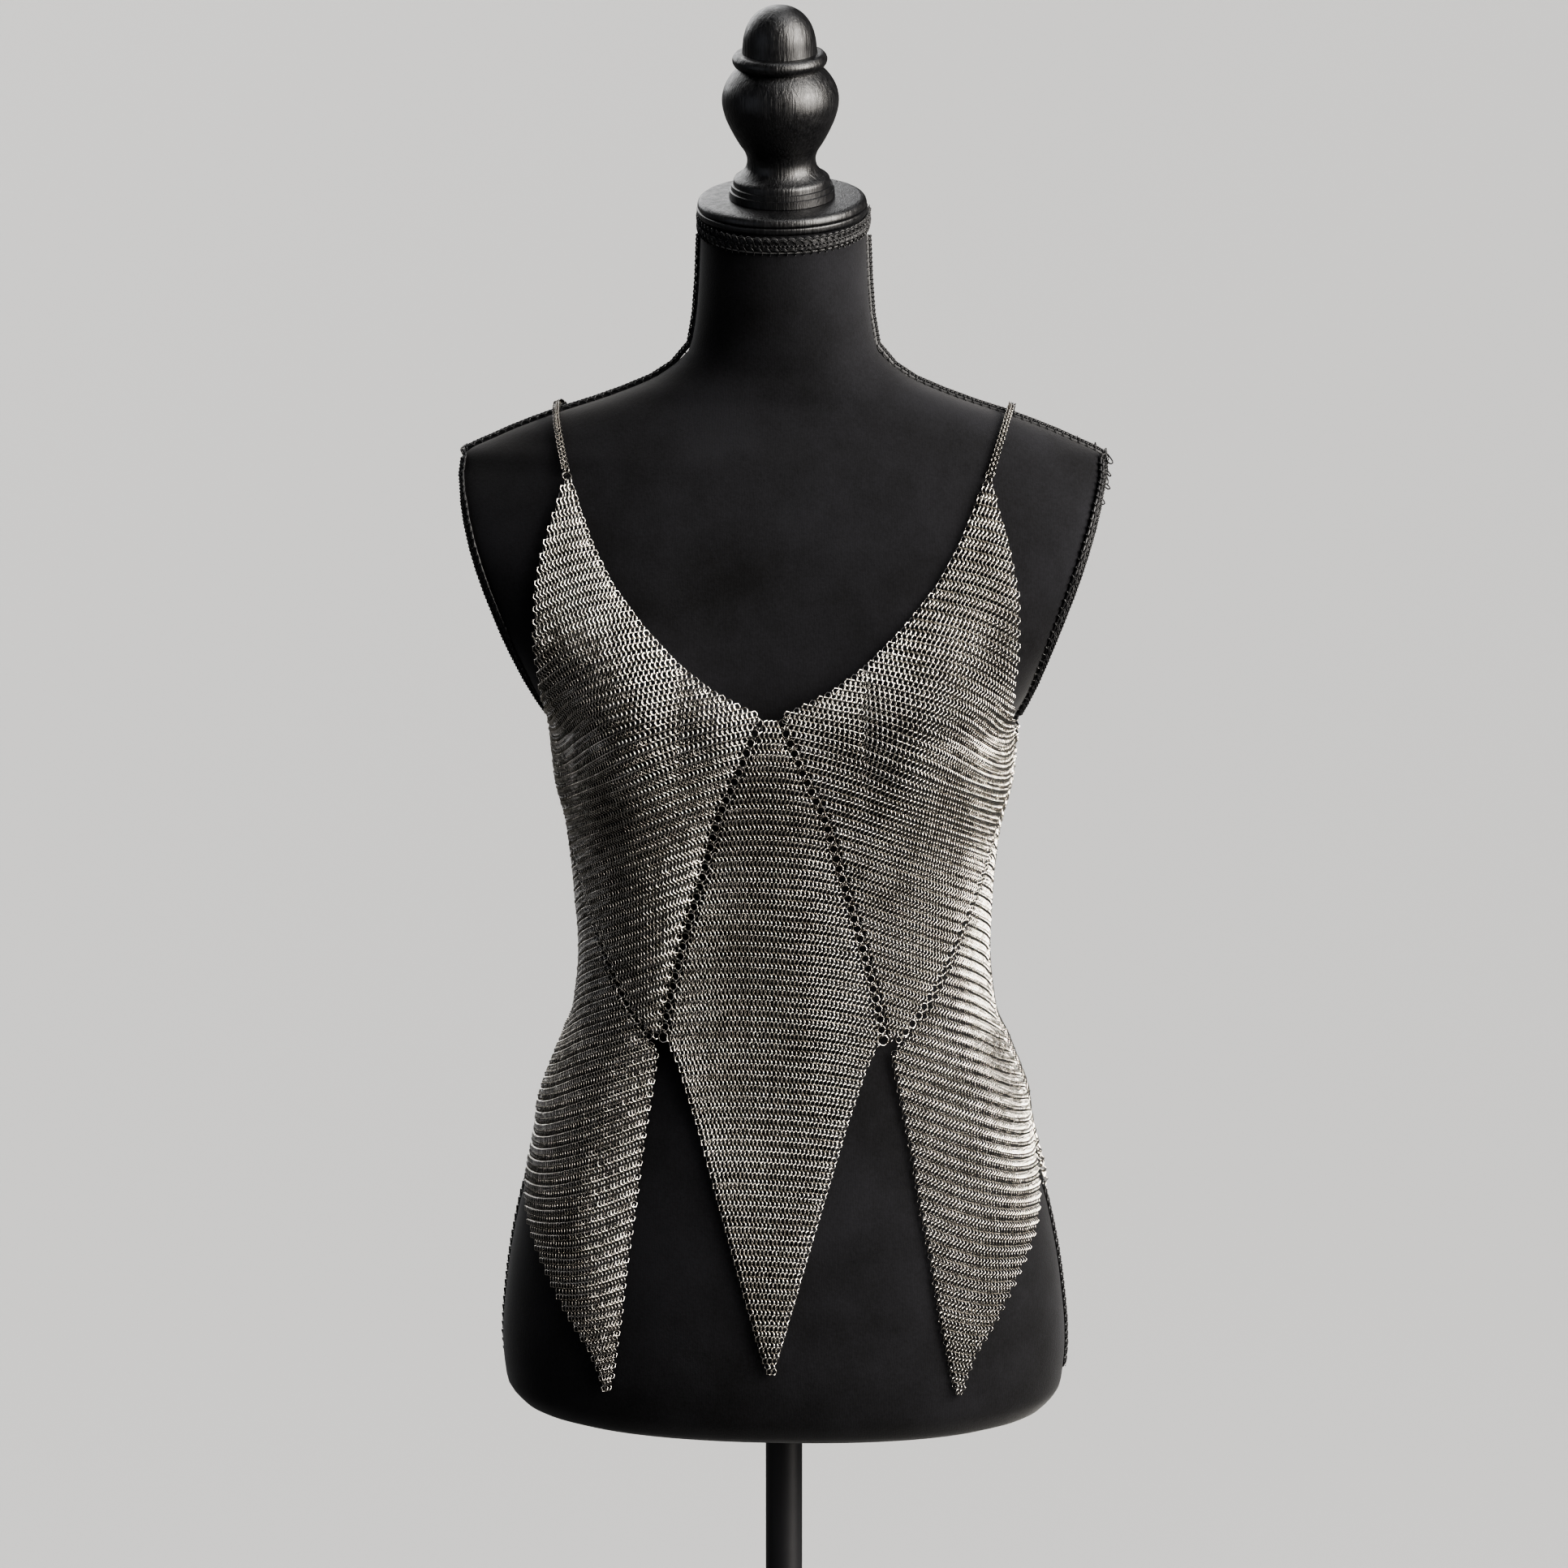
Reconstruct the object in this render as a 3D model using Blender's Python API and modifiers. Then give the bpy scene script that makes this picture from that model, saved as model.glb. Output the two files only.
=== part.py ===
"""Chainmail top on a limbless dress form.

Metres, +Z up, the floor at Z = 0. The front faces -Y and the wearer's left is +X.
Tables and named sizes are in millimetres and degrees. Their heights start at the underside of the
torso, except on the turned pieces. A girth is measured round the body in a level plane, from the
middle of the front or of the back.
"""

import math

import bmesh
import bpy
import numpy as np
from mathutils import Matrix, Vector

MM = 0.001

# Stand and neck.
TORSO_BOTTOM = 560
POLE_RADIUS = 10.8
HUB_BORE = 11.3
HUB_SOCKET = 14
NECK_TOP = 700
NECK_TILT = 13
TILT_STARTS = 640
CAP_HEIGHT = 9.6
CLEARANCE = 0.3

# Mail: how far it stands off the body, its thickness, its open link rows and its round straps.
MAIL_GAP = 1.8
MAIL_WALL = 2.0
SEAM_WIDTH = 6.0
LINK_ROW_WIDTH = 4.2
STRAP_RADIUS = 2.2
STRAP_GAP = 0.8

# Braids glued over the form's seams. A lift is how far the underside is off the jersey.
BRAID_THICKNESS = 2.2
NECK_BRAID = {"width": 10.5, "lift": 1.1, "height": 693.5}
SIDE_BRAID = {"width": 5, "lift": 0.5, "low": 26, "high": 184}
SHOULDER_BRAID_HEIGHTS = (567, 571, 575, 580, 586, 592, 598, 605, 613, 625, 642, 662, 685)
ARM_BRAID = {"width": 7, "lift": 2.0, "low": 414, "high": 562, "turn": 0.8}

# Level sections of the body: half width, depth in front of and behind the side seam, half depth
# of the flat arm end, and how full the section is between the side seam and the middle.
SECTION_COLUMNS = ("height", "half_width", "front", "back", "arm", "fullness")
SECTIONS = (
    (0, 138, 84, 84, 3, 2.2),
    (6, 153, 98, 100, 3, 2.2),
    (20, 163, 109, 113, 3, 2.2),
    (44, 165, 113, 120, 3, 2.2),
    (80, 162, 112, 124, 3, 2.2),
    (120, 155, 109, 123, 3, 2.2),
    (160, 143.5, 104, 116, 3, 2.2),
    (190, 136, 99, 108, 3, 2.2),
    (215, 126.5, 96, 101, 3, 2.2),
    (240, 118.5, 93, 94, 3, 2.2),
    (275, 115, 91, 87, 3, 2.2),
    (310, 116.5, 91.5, 84, 3, 2.2),
    (345, 120.5, 94, 86, 3, 2.2),
    (375, 128, 97, 90, 3, 2.15),
    (405, 131.5, 98, 95, 3, 2.0),
    (430, 143, 96, 98, 24, 1.75),
    (465, 157, 90, 101, 46, 1.45),
    (500, 170, 81, 102, 49, 1.35),
    (535, 180, 71, 98, 36, 1.3),
    (560, 184, 62, 91, 12, 1.35),
    (572, 163, 56, 84, 5, 1.6),
    (584, 133, 51, 77, 4, 1.8),
    (596, 97, 48, 68, 4, 2.0),
    (608, 70, 48, 57, 4, 2.0),
    (624, 53, 52, 46, 4, 2.0),
    (655, 48.5, 57, 38, 4, 2.0),
    (700, 46.5, 60, 32, 4, 2.0),
)
WIDTH_POWER = 2 / 2.2
BUST = {"across": 84, "height": 408, "rise": 17, "spread": 36, "above": 62, "below": 40}

# The mail hangs straight from the bust and the shoulder blades, so it stands off at the waist.
DRAPE = {"front": 5, "back": 8, "height": 290, "reach": 75}
BUST_BRIDGE = 0.45
HANGS_BELOW = 60

# Edges and seams of one half of the top, each from its low end to its high end. The columns are
# girth and height.
CENTRE_SEAM = ((63, 236), (60, 255), (50, 294), (38.7, 333), (30, 366), (17.6, 394), (6, 422))
CUP_SEAM = (
    (71, 236), (86, 251), (110.4, 285), (134.5, 319), (153.6, 347), (168.5, 371), (180, 392),
)
NECKLINE = (
    (3.5, 424), (14, 428), (34, 438), (53.5, 452), (72, 471), (90.5, 494), (103, 516), (117.5, 551),
)
ARMHOLE = (
    (183, 398), (169, 410), (153, 425), (145, 441), (140.5, 465), (137.5, 490), (131.5, 515),
    (120.5, 551),
)
BACK_NECKLINE = ((3.5, 424), (40, 436), (75, 448), (104, 462))
BACK_ARMHOLE = ((182, 399), (160, 412), (135, 433), (108, 462))
CENTRE_HEM = ((1.8, 49), (20.5, 115), (42.3, 190), (53, 222))
SIDE_HEM_INNER = ((100, 33), (92, 76), (87, 111), (81.5, 142), (77, 173), (71, 205), (67, 229))
SIDE_HEM_OUTER = (
    (103, 33), (112, 55), (128, 75), (145, 98), (162, 118), (172, 132), (182, 149), (189, 168),
)
SIDE_SEAM = (190, 392)

# Both front hip points hang a little round to the wearer's left, most of all at their tips.
SWING = {"tip": 6.5, "starts": 250, "tip_height": 33}

# How far each panel's rows of rings fall away from the middle.
CENTRE_TILT = 0
CUP_TILT = 9
SIDE_TILT = 13.2

# The chain straps' two ends, and how far from the middle they cross the shoulder.
STRAP_FRONT = {"height": 555.5, "width": 119.5}
STRAP_BACK = {"height": 467, "width": 103.5}
STRAP_RIDGE = 128.5
BRAID_CROSSING = 14

# Turned pieces: radius and height, from the top down the outer side.
FINIAL_PROFILE = (
    (0, 110), (7, 108.8), (13, 105.4), (17.4, 100), (20, 93), (20.9, 86), (21.2, 83.4),
    (25, 82.6), (26.8, 79.4), (25.6, 76.2), (23.6, 74.6),
    (28.2, 69.5), (31.8, 63), (33, 56), (31.8, 48.5), (28.4, 40), (23.8, 31.5), (20.4, 26), (19.4, 21.5),
    (20.4, 17), (23.4, 13.4), (27, 10.8), (27.6, 7.6), (28.6, 7.2), (28.8, 4.6), (29.8, 4.2), (30, 0),
    (0, 0),
)
CAP_PROFILE = (
    (0, CAP_HEIGHT), (44.2, CAP_HEIGHT), (46.8, 8.6), (47.9, 6.6), (47.9, 4.9), (47.1, 4.4),
    (48.3, 3.8), (48.3, 1), (47.5, 0), (0, 0),
)
BASE_PROFILE = (
    (0, HUB_SOCKET), (HUB_BORE, HUB_SOCKET), (HUB_BORE, 52), (17, 52), (19, 50), (19, 24), (21.5, 19),
    (28, 16.5), (100, 14.2), (150, 11.4), (156.4, 9.6), (159.3, 7), (160, 4.6), (160, 1.2), (158.8, 0),
    (0, 0),
)

# How finely the solids are cut: rings of points on the torso as from, up to and step, angles in a
# quarter of a ring, counts of points, and rows and columns of each panel.
TORSO_LEVELS = (
    (0, 9, 4), (15, 27, 11), (44, 400, 20), (402, 445, 8), (455, 550, 19), (554, 590, 6),
    (596, 630, 10), (642, 701, 19.3),
)
QUARTER_ANGLES = (0, 8, 16, 25, 34, 43, 52, 61, 70, 80, 90)
GIRTH_POINTS = 61
SEAM_POINTS = 14
SIDE_POINTS = 12
STRAP_POINTS = {"front": 9, "back": 20}
STRAP_SMOOTHING = 2
NECK_BRAID_STEP = 10
ARM_BRAID_STEP = 13
PANEL_GRIDS = {"centre": (20, 6), "cup": (24, 9), "side": (22, 6)}
TURNED_STEPS = {"cap": 36, "finial": 24, "base": 48}
POLE_SIDES = 24

# Colour, roughness and metallic value of each finish.
FINISHES = {
    "steel_mail": ((0.46, 0.44, 0.40), 0.32, 1.0),
    "jersey": ((0.013, 0.013, 0.015), 0.9, 0.0),
    "lacquered_wood": ((0.006, 0.006, 0.007), 0.28, 0.0),
    "gimp_braid": ((0.010, 0.010, 0.011), 0.75, 0.0),
    "painted_steel": ((0.012, 0.012, 0.013), 0.4, 0.0),
}


def clear_scene():
    for item in list(bpy.data.objects):
        bpy.data.objects.remove(item, do_unlink=True)
    collection = bpy.data.collections.new("chainmail_top_on_dress_form")
    bpy.context.scene.collection.children.link(collection)
    return collection


def finish(name):
    material = bpy.data.materials.get(name)
    if material is None:
        colour, roughness, metallic = FINISHES[name]
        material = bpy.data.materials.new(name)
        material.use_nodes = True
        shader = material.node_tree.nodes["Principled BSDF"]
        shader.inputs["Base Color"].default_value = (*colour, 1)
        shader.inputs["Roughness"].default_value = roughness
        shader.inputs["Metallic"].default_value = metallic
    return material


def column(name, heights):
    """One column of SECTIONS at any heights, on a smooth curve with no overshoot."""
    table = np.array(SECTIONS, float)
    at, values = table[:, 0], table[:, SECTION_COLUMNS.index(name)]
    step = np.diff(at)
    slope = np.diff(values) / step
    before, after = slope[:-1], slope[1:]
    turning = before * after <= 0
    both = np.where(turning, 1, before + after)
    inner = np.where(turning, 0, 2 * before * after / both)
    tangent = np.concatenate([slope[:1], inner, slope[-1:]])
    heights = np.clip(np.asarray(heights, float), at[0], at[-1])
    i = np.clip(np.searchsorted(at, heights) - 1, 0, len(at) - 2)
    s = (heights - at[i]) / step[i]
    start = (2 * s**3 - 3 * s**2 + 1) * values[i] + (s**3 - 2 * s**2 + s) * step[i] * tangent[i]
    end = (3 * s**2 - 2 * s**3) * values[i + 1] + (s**3 - s**2) * step[i] * tangent[i + 1]
    return start + end


def bust_rise(x, heights, bridge):
    """How far the bust stands out. A bridge above 0 spans the hollow between its two sides."""
    reach = np.where(heights > BUST["height"], BUST["above"], BUST["below"])
    level = np.exp(-(((heights - BUST["height"]) / reach) ** 2))
    across = np.exp(-(((np.abs(x) - BUST["across"]) / BUST["spread"]) ** 2))
    spanned = np.where(np.abs(x) < BUST["across"], np.maximum(across, bridge), across)
    return BUST["rise"] * level * spanned


def section_points(angles, heights, worn):
    """Points of the body, or with worn True of the hanging mail's surface, before any offset.

    An angle is 0 at the middle of the front, 90 at the left side seam and 180 at the back.
    """
    angles, heights = np.broadcast_arrays(np.asarray(angles, float), np.asarray(heights, float))
    level = np.maximum(heights, HANGS_BELOW) if worn else heights
    across = np.abs(np.sin(np.radians(angles)))
    forward = np.abs(np.cos(np.radians(angles)))
    x = column("half_width", level) * np.sign(np.sin(np.radians(angles))) * across**WIDTH_POWER
    in_front = np.cos(np.radians(angles)) >= 0
    depth = np.where(in_front, column("front", level), column("back", level))
    arm = column("arm", level)
    y = arm + (depth - arm) * forward ** (2 / column("fullness", level))
    y += np.where(in_front, bust_rise(x, level, BUST_BRIDGE if worn else 0), 0)
    if worn:
        off = np.where(in_front, DRAPE["front"], DRAPE["back"]) * forward
        y += off * np.exp(-(((heights - DRAPE["height"]) / DRAPE["reach"]) ** 2))
    return np.stack([x, np.where(in_front, -y, y), heights], -1)


def tilted(points):
    """Leans the level sections of the neck forward, to the slope of its cap."""
    lean = np.clip((points[..., 2] - TILT_STARTS) / (NECK_TOP - TILT_STARTS), 0, 1)
    middle = (column("back", NECK_TOP) - column("front", NECK_TOP)) / 2
    lift = lean * math.tan(math.radians(NECK_TILT)) * (points[..., 1] - middle)
    return points + np.stack([0 * lift, 0 * lift, lift], -1)


def surface_normals(angles, heights, worn):
    """Outward directions. At the side seam the two halves meet in a flat, so its own line is used."""
    step = 0.5
    angles = np.asarray(angles, float)
    at_side = (np.abs(np.abs(angles) - 90) < 1)[..., None]
    turn = np.where(at_side[..., 0], 0, step)
    east = section_points(angles + turn, heights, worn)
    west = section_points(angles - turn, heights, worn)
    backwards = np.array([0.0, 1.0, 0.0]) * np.sign(angles)[..., None]
    along = np.where(at_side, backwards, east - west)
    up = section_points(angles, heights + step, worn) - section_points(angles, heights - step, worn)
    normals = np.cross(along, up)
    return normals / np.linalg.norm(normals, axis=-1, keepdims=True)


def girths(height, back):
    """(girths, angles) from the middle of the front or back to the side seam at one height."""
    angles = np.linspace(180 if back else 0, 90, GIRTH_POINTS)
    points = section_points(angles, np.full(GIRTH_POINTS, float(height)), True)
    steps = np.linalg.norm(np.diff(points, axis=0), axis=1)
    return np.concatenate([[0], np.cumsum(steps)]), angles


def side_girth(height, back):
    return girths(height, back)[0][-1]


def worn_point(girth, height, back, lift):
    """A point on the wearer's left, lift outside the surface that the mail hangs on."""
    lengths, angles = girths(height, back)
    angle = np.array([np.interp(girth, lengths, angles)])
    level = np.array([float(height)])
    point = section_points(angle, level, True) + lift * surface_normals(angle, level, True)
    return point[0]


def to_world(points):
    return (np.asarray(points, float) + np.array([0, 0, TORSO_BOTTOM])) * MM


def add_mesh(collection, name, points, faces, material):
    mesh = bpy.data.meshes.new(name)
    mesh.from_pydata([tuple(point) for point in points], [], [tuple(face) for face in faces])
    mesh.materials.append(finish(material))
    mesh.shade_smooth()
    mesh.set_sharp_from_angle(angle=math.radians(40))
    part = bpy.data.objects.new(name, mesh)
    collection.objects.link(part)
    return part


def grid_faces(rows, columns, closed_columns=False, closed_rows=False):
    faces = []
    for row in range(rows if closed_rows else rows - 1):
        for left in range(columns if closed_columns else columns - 1):
            low, high = row * columns, (row + 1) % rows * columns
            right = (left + 1) % columns
            faces.append((low + left, low + right, high + right, high + left))
    return faces


def face_outwards(part):
    mesh = bmesh.new()
    mesh.from_mesh(part.data)
    bmesh.ops.recalc_face_normals(mesh, faces=mesh.faces)
    mesh.to_mesh(part.data)
    mesh.free()


def torso(collection):
    """The whole padded body. Each half's ring has its own point at the side, so an arm end is flat."""
    front = np.array(QUARTER_ANGLES, float)
    back = 180 - front[::-1]
    ring = np.concatenate([front, back, -back[-2::-1], -front[:0:-1]])
    heights = np.concatenate([np.arange(*span) for span in TORSO_LEVELS])
    angles, levels = np.meshgrid(ring, heights)
    points = section_points(angles, levels, False)
    back_of_side = (len(front), 3 * len(front) - 2)
    points[:, back_of_side, 1] *= -1
    points = tilted(points)
    rows, columns = angles.shape
    faces = grid_faces(rows, columns, closed_columns=True)
    faces.append(tuple(range(columns))[::-1])
    faces.append(tuple(range((rows - 1) * columns, rows * columns)))
    part = add_mesh(collection, "dress_form_torso", to_world(points.reshape(-1, 3)), faces, "jersey")
    face_outwards(part)


def turned(collection, name, profile, steps, material, place):
    """A profile turned round its own Z axis by a Screw modifier."""
    mesh = bpy.data.meshes.new(name)
    points = [(radius * MM, 0, height * MM) for radius, height in profile]
    mesh.from_pydata(points, [(i, i + 1) for i in range(len(points) - 1)], [])
    mesh.materials.append(finish(material))
    part = bpy.data.objects.new(name, mesh)
    collection.objects.link(part)
    screw = part.modifiers.new("turn", "SCREW")
    screw.steps = steps
    screw.render_steps = steps
    screw.use_merge_vertices = True
    screw.merge_threshold = 0.00001
    screw.use_smooth_shade = True
    part.matrix_world = place
    return part


def neck_place(above):
    """On the neck's leaning axis, this far above the neck's top."""
    middle = (column("back", NECK_TOP) - column("front", NECK_TOP)) / 2
    top = Vector((0, float(middle) * MM, (TORSO_BOTTOM + NECK_TOP) * MM))
    lean = Matrix.Rotation(math.radians(NECK_TILT), 4, "X")
    return Matrix.Translation(top) @ lean @ Matrix.Translation((0, 0, above * MM))


def ribbon(collection, name, path, outward, width, closed=False):
    """A flat braid along a path. Its underside is on the path, and outward points off the body."""
    path = np.asarray(path, float)
    outward = np.asarray(outward, float)
    if closed:
        tangent = np.roll(path, -1, 0) - np.roll(path, 1, 0)
    else:
        tangent = np.gradient(path, axis=0)
    across = np.cross(tangent, outward)
    across *= 0.5 * width / np.linalg.norm(across, axis=1, keepdims=True)
    corners = [path - across, path + across]
    corners += [corners[1] + outward * BRAID_THICKNESS, corners[0] + outward * BRAID_THICKNESS]
    points = np.stack(corners, 1).reshape(-1, 3)
    count = len(path)
    faces = grid_faces(count, 4, closed_columns=True, closed_rows=closed)
    if not closed:
        faces += [(0, 1, 2, 3), tuple(4 * (count - 1) + k for k in (3, 2, 1, 0))]
    part = add_mesh(collection, name, to_world(points), faces, "gimp_braid")
    face_outwards(part)


def mirrored(points, side):
    return np.asarray(points) * np.array([side, 1, 1])


def unit(vectors):
    return vectors / np.linalg.norm(vectors, axis=-1, keepdims=True)


def side_line(heights):
    """(points, outward directions) along the middle of the left side, from the hip to the neck."""
    points = section_points(np.full(len(heights), 90.0), heights, False)
    points[:, 1] = 0
    points = tilted(points)
    slope = np.gradient(points, axis=0)
    return points, unit(np.stack([slope[:, 2], 0 * slope[:, 2], -slope[:, 0]], -1))


def neck_braid(collection):
    angles = np.arange(-180.0, 180, NECK_BRAID_STEP)
    heights = np.full(len(angles), NECK_BRAID["height"])
    path = tilted(section_points(angles, heights, False))
    axis = np.array(neck_place(0).to_3x3() @ Vector((0, 0, 1)))
    outward = unit(np.cross(np.roll(path, -1, 0) - np.roll(path, 1, 0), axis))
    path = path + outward * NECK_BRAID["lift"]
    ribbon(collection, "neck_braid", path, outward, NECK_BRAID["width"], closed=True)


def arm_rim():
    """(points, outward directions) round the edge of the flat left arm end."""
    low, high = ARM_BRAID["low"], ARM_BRAID["high"]
    between = np.arange(low + 8, high - 8, ARM_BRAID_STEP)
    heights = np.concatenate([[low], between, [high]])
    points = section_points(np.full(len(heights), 90.0), heights, False)
    slope = (column("half_width", high) - column("half_width", low)) / (high - low)
    sideways = np.array([1, 0, -slope]) / math.hypot(1, slope)
    loop = np.concatenate([points * (1, -1, 1), points[::-1]])
    level = np.array([0.0, 1.0, 0.0])
    outward = unit(sideways + level * ARM_BRAID["turn"] * np.sign(loop[:, 1:2]))
    return loop, outward


def braids(collection):
    neck_braid(collection)
    side_heights = np.linspace(SIDE_BRAID["low"], SIDE_BRAID["high"], SIDE_POINTS)
    lines = (
        ("shoulder_braid", side_line(SHOULDER_BRAID_HEIGHTS), SIDE_BRAID, False),
        ("side_braid", side_line(side_heights), SIDE_BRAID, False),
        ("arm_braid", arm_rim(), ARM_BRAID, True),
    )
    for kind, (path, outward), sizes, closed in lines:
        lifted = path + outward * sizes["lift"]
        for hand, side in (("left", 1), ("right", -1)):
            away = mirrored(outward, side)
            ribbon(collection, f"{kind}_{hand}", mirrored(lifted, side), away, sizes["width"], closed)


def stand(collection):
    floor = Matrix.Identity(4)
    turned(collection, "stand_base", BASE_PROFILE, TURNED_STEPS["base"], "painted_steel", floor)
    bottom = HUB_SOCKET + CLEARANCE
    top = TORSO_BOTTOM - CLEARANCE
    bpy.ops.mesh.primitive_cylinder_add(
        vertices=POLE_SIDES,
        radius=POLE_RADIUS * MM,
        depth=(top - bottom) * MM,
        location=(0, 0, (top + bottom) / 2 * MM),
    )
    pole = bpy.context.object
    pole.name = "stand_pole"
    pole.data.name = "stand_pole"
    pole.data.materials.append(finish("painted_steel"))
    for owner in list(pole.users_collection):
        owner.objects.unlink(pole)
    collection.objects.link(pole)


def levels(edge, tilt):
    """How high each point's row of rings is, where rows fall by tilt degrees away from the middle."""
    return edge[:, 1] + math.tan(math.radians(tilt)) * edge[:, 0]


def shifted(edge, girth):
    return np.array(edge, float) + np.array([girth, 0])


def from_side(edge, back):
    """An edge of the front moved to the back, at the same distance from the side seam."""
    edge = np.array(edge, float)
    if back:
        gained = [side_girth(height, True) - side_girth(height, False) for height in edge[:, 1]]
        edge[:, 0] += gained
    return edge


def side_edge(back, inset):
    """The side seam, or a line beside it that is this much nearer the middle."""
    heights = np.linspace(*SIDE_SEAM, SIDE_POINTS)
    return np.array([(side_girth(height, back) - inset, height) for height in heights])


def panel_edges(back):
    """(inner edge, outer edge, tilt) of each panel on the wearer's left, low end first."""
    half = SEAM_WIDTH / 2
    cup_seam = from_side(CUP_SEAM, back)
    centre = np.vstack([CENTRE_HEM, shifted(CENTRE_SEAM, -half)])
    neckline, armhole = (BACK_NECKLINE, BACK_ARMHOLE) if back else (NECKLINE, ARMHOLE)
    cup_inner = np.vstack([shifted(CENTRE_SEAM, half), neckline])
    cup_outer = np.vstack([shifted(cup_seam, -half), armhole])
    side_inner = np.vstack([from_side(SIDE_HEM_INNER, back), shifted(cup_seam, half)])
    side_outer = np.vstack([from_side(SIDE_HEM_OUTER, back), side_edge(back, half)])
    return {
        "centre": (centre * (-1, 1), centre, CENTRE_TILT),
        "cup": (cup_inner, cup_outer, CUP_TILT),
        "side": (side_inner, side_outer, SIDE_TILT),
    }


def rows_between(inner, outer, tilt, row_count, column_count):
    """(girth, height) points of a panel, in straight rows from its inner to its outer edge."""
    inner_levels, outer_levels = levels(inner, tilt), levels(outer, tilt)
    low = max(inner_levels[0], outer_levels[0])
    high = min(inner_levels[-1], outer_levels[-1])
    wanted = np.linspace(low, high, row_count)
    ends = []
    for edge, at in ((inner, inner_levels), (outer, outer_levels)):
        ends.append(np.stack([np.interp(wanted, at, edge[:, k]) for k in (0, 1)], -1))
    share = np.linspace(0, 1, column_count)[None, :, None]
    return ends[0][:, None] * (1 - share) + ends[1][:, None] * share


def worn_grid(cut, back, side, lift):
    """A grid of (girth, height) points laid on the body; a girth below 0 is across the middle."""
    points = [worn_point(abs(girth), height, back, lift) for girth, height in cut.reshape(-1, 2)]
    across = np.where(cut.reshape(-1, 2)[:, 0] < 0, -side, side)
    return np.array(points) * np.stack([across, 1 + 0 * across, 1 + 0 * across], -1)


def mail_wall(collection, name, points, rows, columns):
    """An open sheet of mail on its inner face, given its wall outwards by Solidify."""
    faces = grid_faces(rows, columns)
    corner = np.cross(points[1] - points[0], points[columns] - points[0])
    if corner @ (points[0] * (1, 1, 0)) < 0:
        faces = [face[::-1] for face in faces]
    part = add_mesh(collection, name, to_world(points), faces, "steel_mail")
    wall = part.modifiers.new("wall", "SOLIDIFY")
    wall.thickness = MAIL_WALL * MM
    wall.offset = 1


def swung(cut, side):
    """The cut of a front hip point as it hangs, turned towards the wearer's left."""
    share = (SWING["starts"] - cut[..., 1]) / (SWING["starts"] - SWING["tip_height"])
    turned_by = side * SWING["tip"] * np.clip(share, 0, 1)
    return cut + np.stack([turned_by, 0 * turned_by], -1)


def panels(collection):
    names = {
        (False, "centre"): "mail_front_centre",
        (True, "centre"): "mail_back_centre",
        (False, "cup"): "mail_cup",
        (True, "cup"): "mail_back_upper",
        (False, "side"): "mail_side_front",
        (True, "side"): "mail_side_back",
    }
    for (back, kind), name in names.items():
        inner, outer, tilt = panel_edges(back)[kind]
        rows, columns = PANEL_GRIDS[kind]
        cut = rows_between(inner, outer, tilt, rows, columns)
        hands = (("", 1),) if kind == "centre" else (("_left", 1), ("_right", -1))
        for hand, side in hands:
            hung = swung(cut, side) if name == "mail_side_front" else cut
            points = worn_grid(hung, back, side, MAIL_GAP)
            mail_wall(collection, name + hand, points, rows, columns)


def link_rows(collection):
    """The narrow rows of links that join one panel to the next."""
    half = LINK_ROW_WIDTH / 2
    for back in (False, True):
        seams = {
            "link_row_back" if back else "link_row_front": np.array(CENTRE_SEAM, float),
            "link_row_back_side" if back else "link_row_cup": from_side(CUP_SEAM, back),
        }
        for name, seam in seams.items():
            heights = np.linspace(seam[0, 1], seam[-1, 1], SEAM_POINTS)
            line = np.stack([np.interp(heights, seam[:, 1], seam[:, 0]), heights], -1)
            cut = np.stack([shifted(line, -half), shifted(line, half)], 1)
            for hand, side in (("_left", 1), ("_right", -1)):
                points = worn_grid(cut, back, side, MAIL_GAP)
                mail_wall(collection, name + hand, points, SEAM_POINTS, 2)
    middle = worn_grid(side_edge(False, 0), False, 1, MAIL_GAP) * (1, 0, 1)
    for hand, side in (("_left", 1), ("_right", -1)):
        edges = [mirrored(middle + (0, y, 0), side) for y in (-half, half)]
        points = np.stack(edges, 1).reshape(-1, 3)
        mail_wall(collection, "link_row_side" + hand, points, SIDE_POINTS, 2)


def strap_side(heights, widths, back):
    """Points and normals on the wearer's left, at these heights and distances from the middle."""
    share = np.minimum(np.array(widths) / column("half_width", heights), 1)
    angles = np.degrees(np.arcsin(share ** (1 / WIDTH_POWER)))
    if back:
        angles = 180 - angles
    heights = np.array(heights, float)
    return section_points(angles, heights, False), surface_normals(angles, heights, False)


def strap_path():
    """Centre line of the left chain, from the front panel over the shoulder to the back panel."""
    levels_above = np.arange(NECK_TOP, STRAP_FRONT["height"], -0.2)
    ridge = np.interp(STRAP_RIDGE, column("half_width", levels_above), levels_above)
    stretches = []
    for end, count, back in (
        (STRAP_FRONT, STRAP_POINTS["front"], False),
        (STRAP_BACK, STRAP_POINTS["back"], True),
    ):
        climb = np.sin(np.linspace(0, math.pi / 2, count))
        heights = end["height"] + (ridge - end["height"]) * climb
        widths = end["width"] + (STRAP_RIDGE - end["width"]) * climb
        points, normals = strap_side(heights, widths, back)
        stretches.append((points, normals))
    (front, front_out), (back, back_out) = stretches
    points = np.concatenate([front, back[::-1]])
    normals = np.concatenate([front_out, back_out[::-1]])
    braid_top = SIDE_BRAID["lift"] + BRAID_THICKNESS + CLEARANCE
    over_braid = braid_top * np.exp(-((points[:, 1:2] / BRAID_CROSSING) ** 2))
    points = points + normals * (STRAP_RADIUS + STRAP_GAP + over_braid)
    for _ in range(STRAP_SMOOTHING):
        points[1:-1] = (points[:-2] + 2 * points[1:-1] + points[2:]) / 4
    return points


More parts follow.
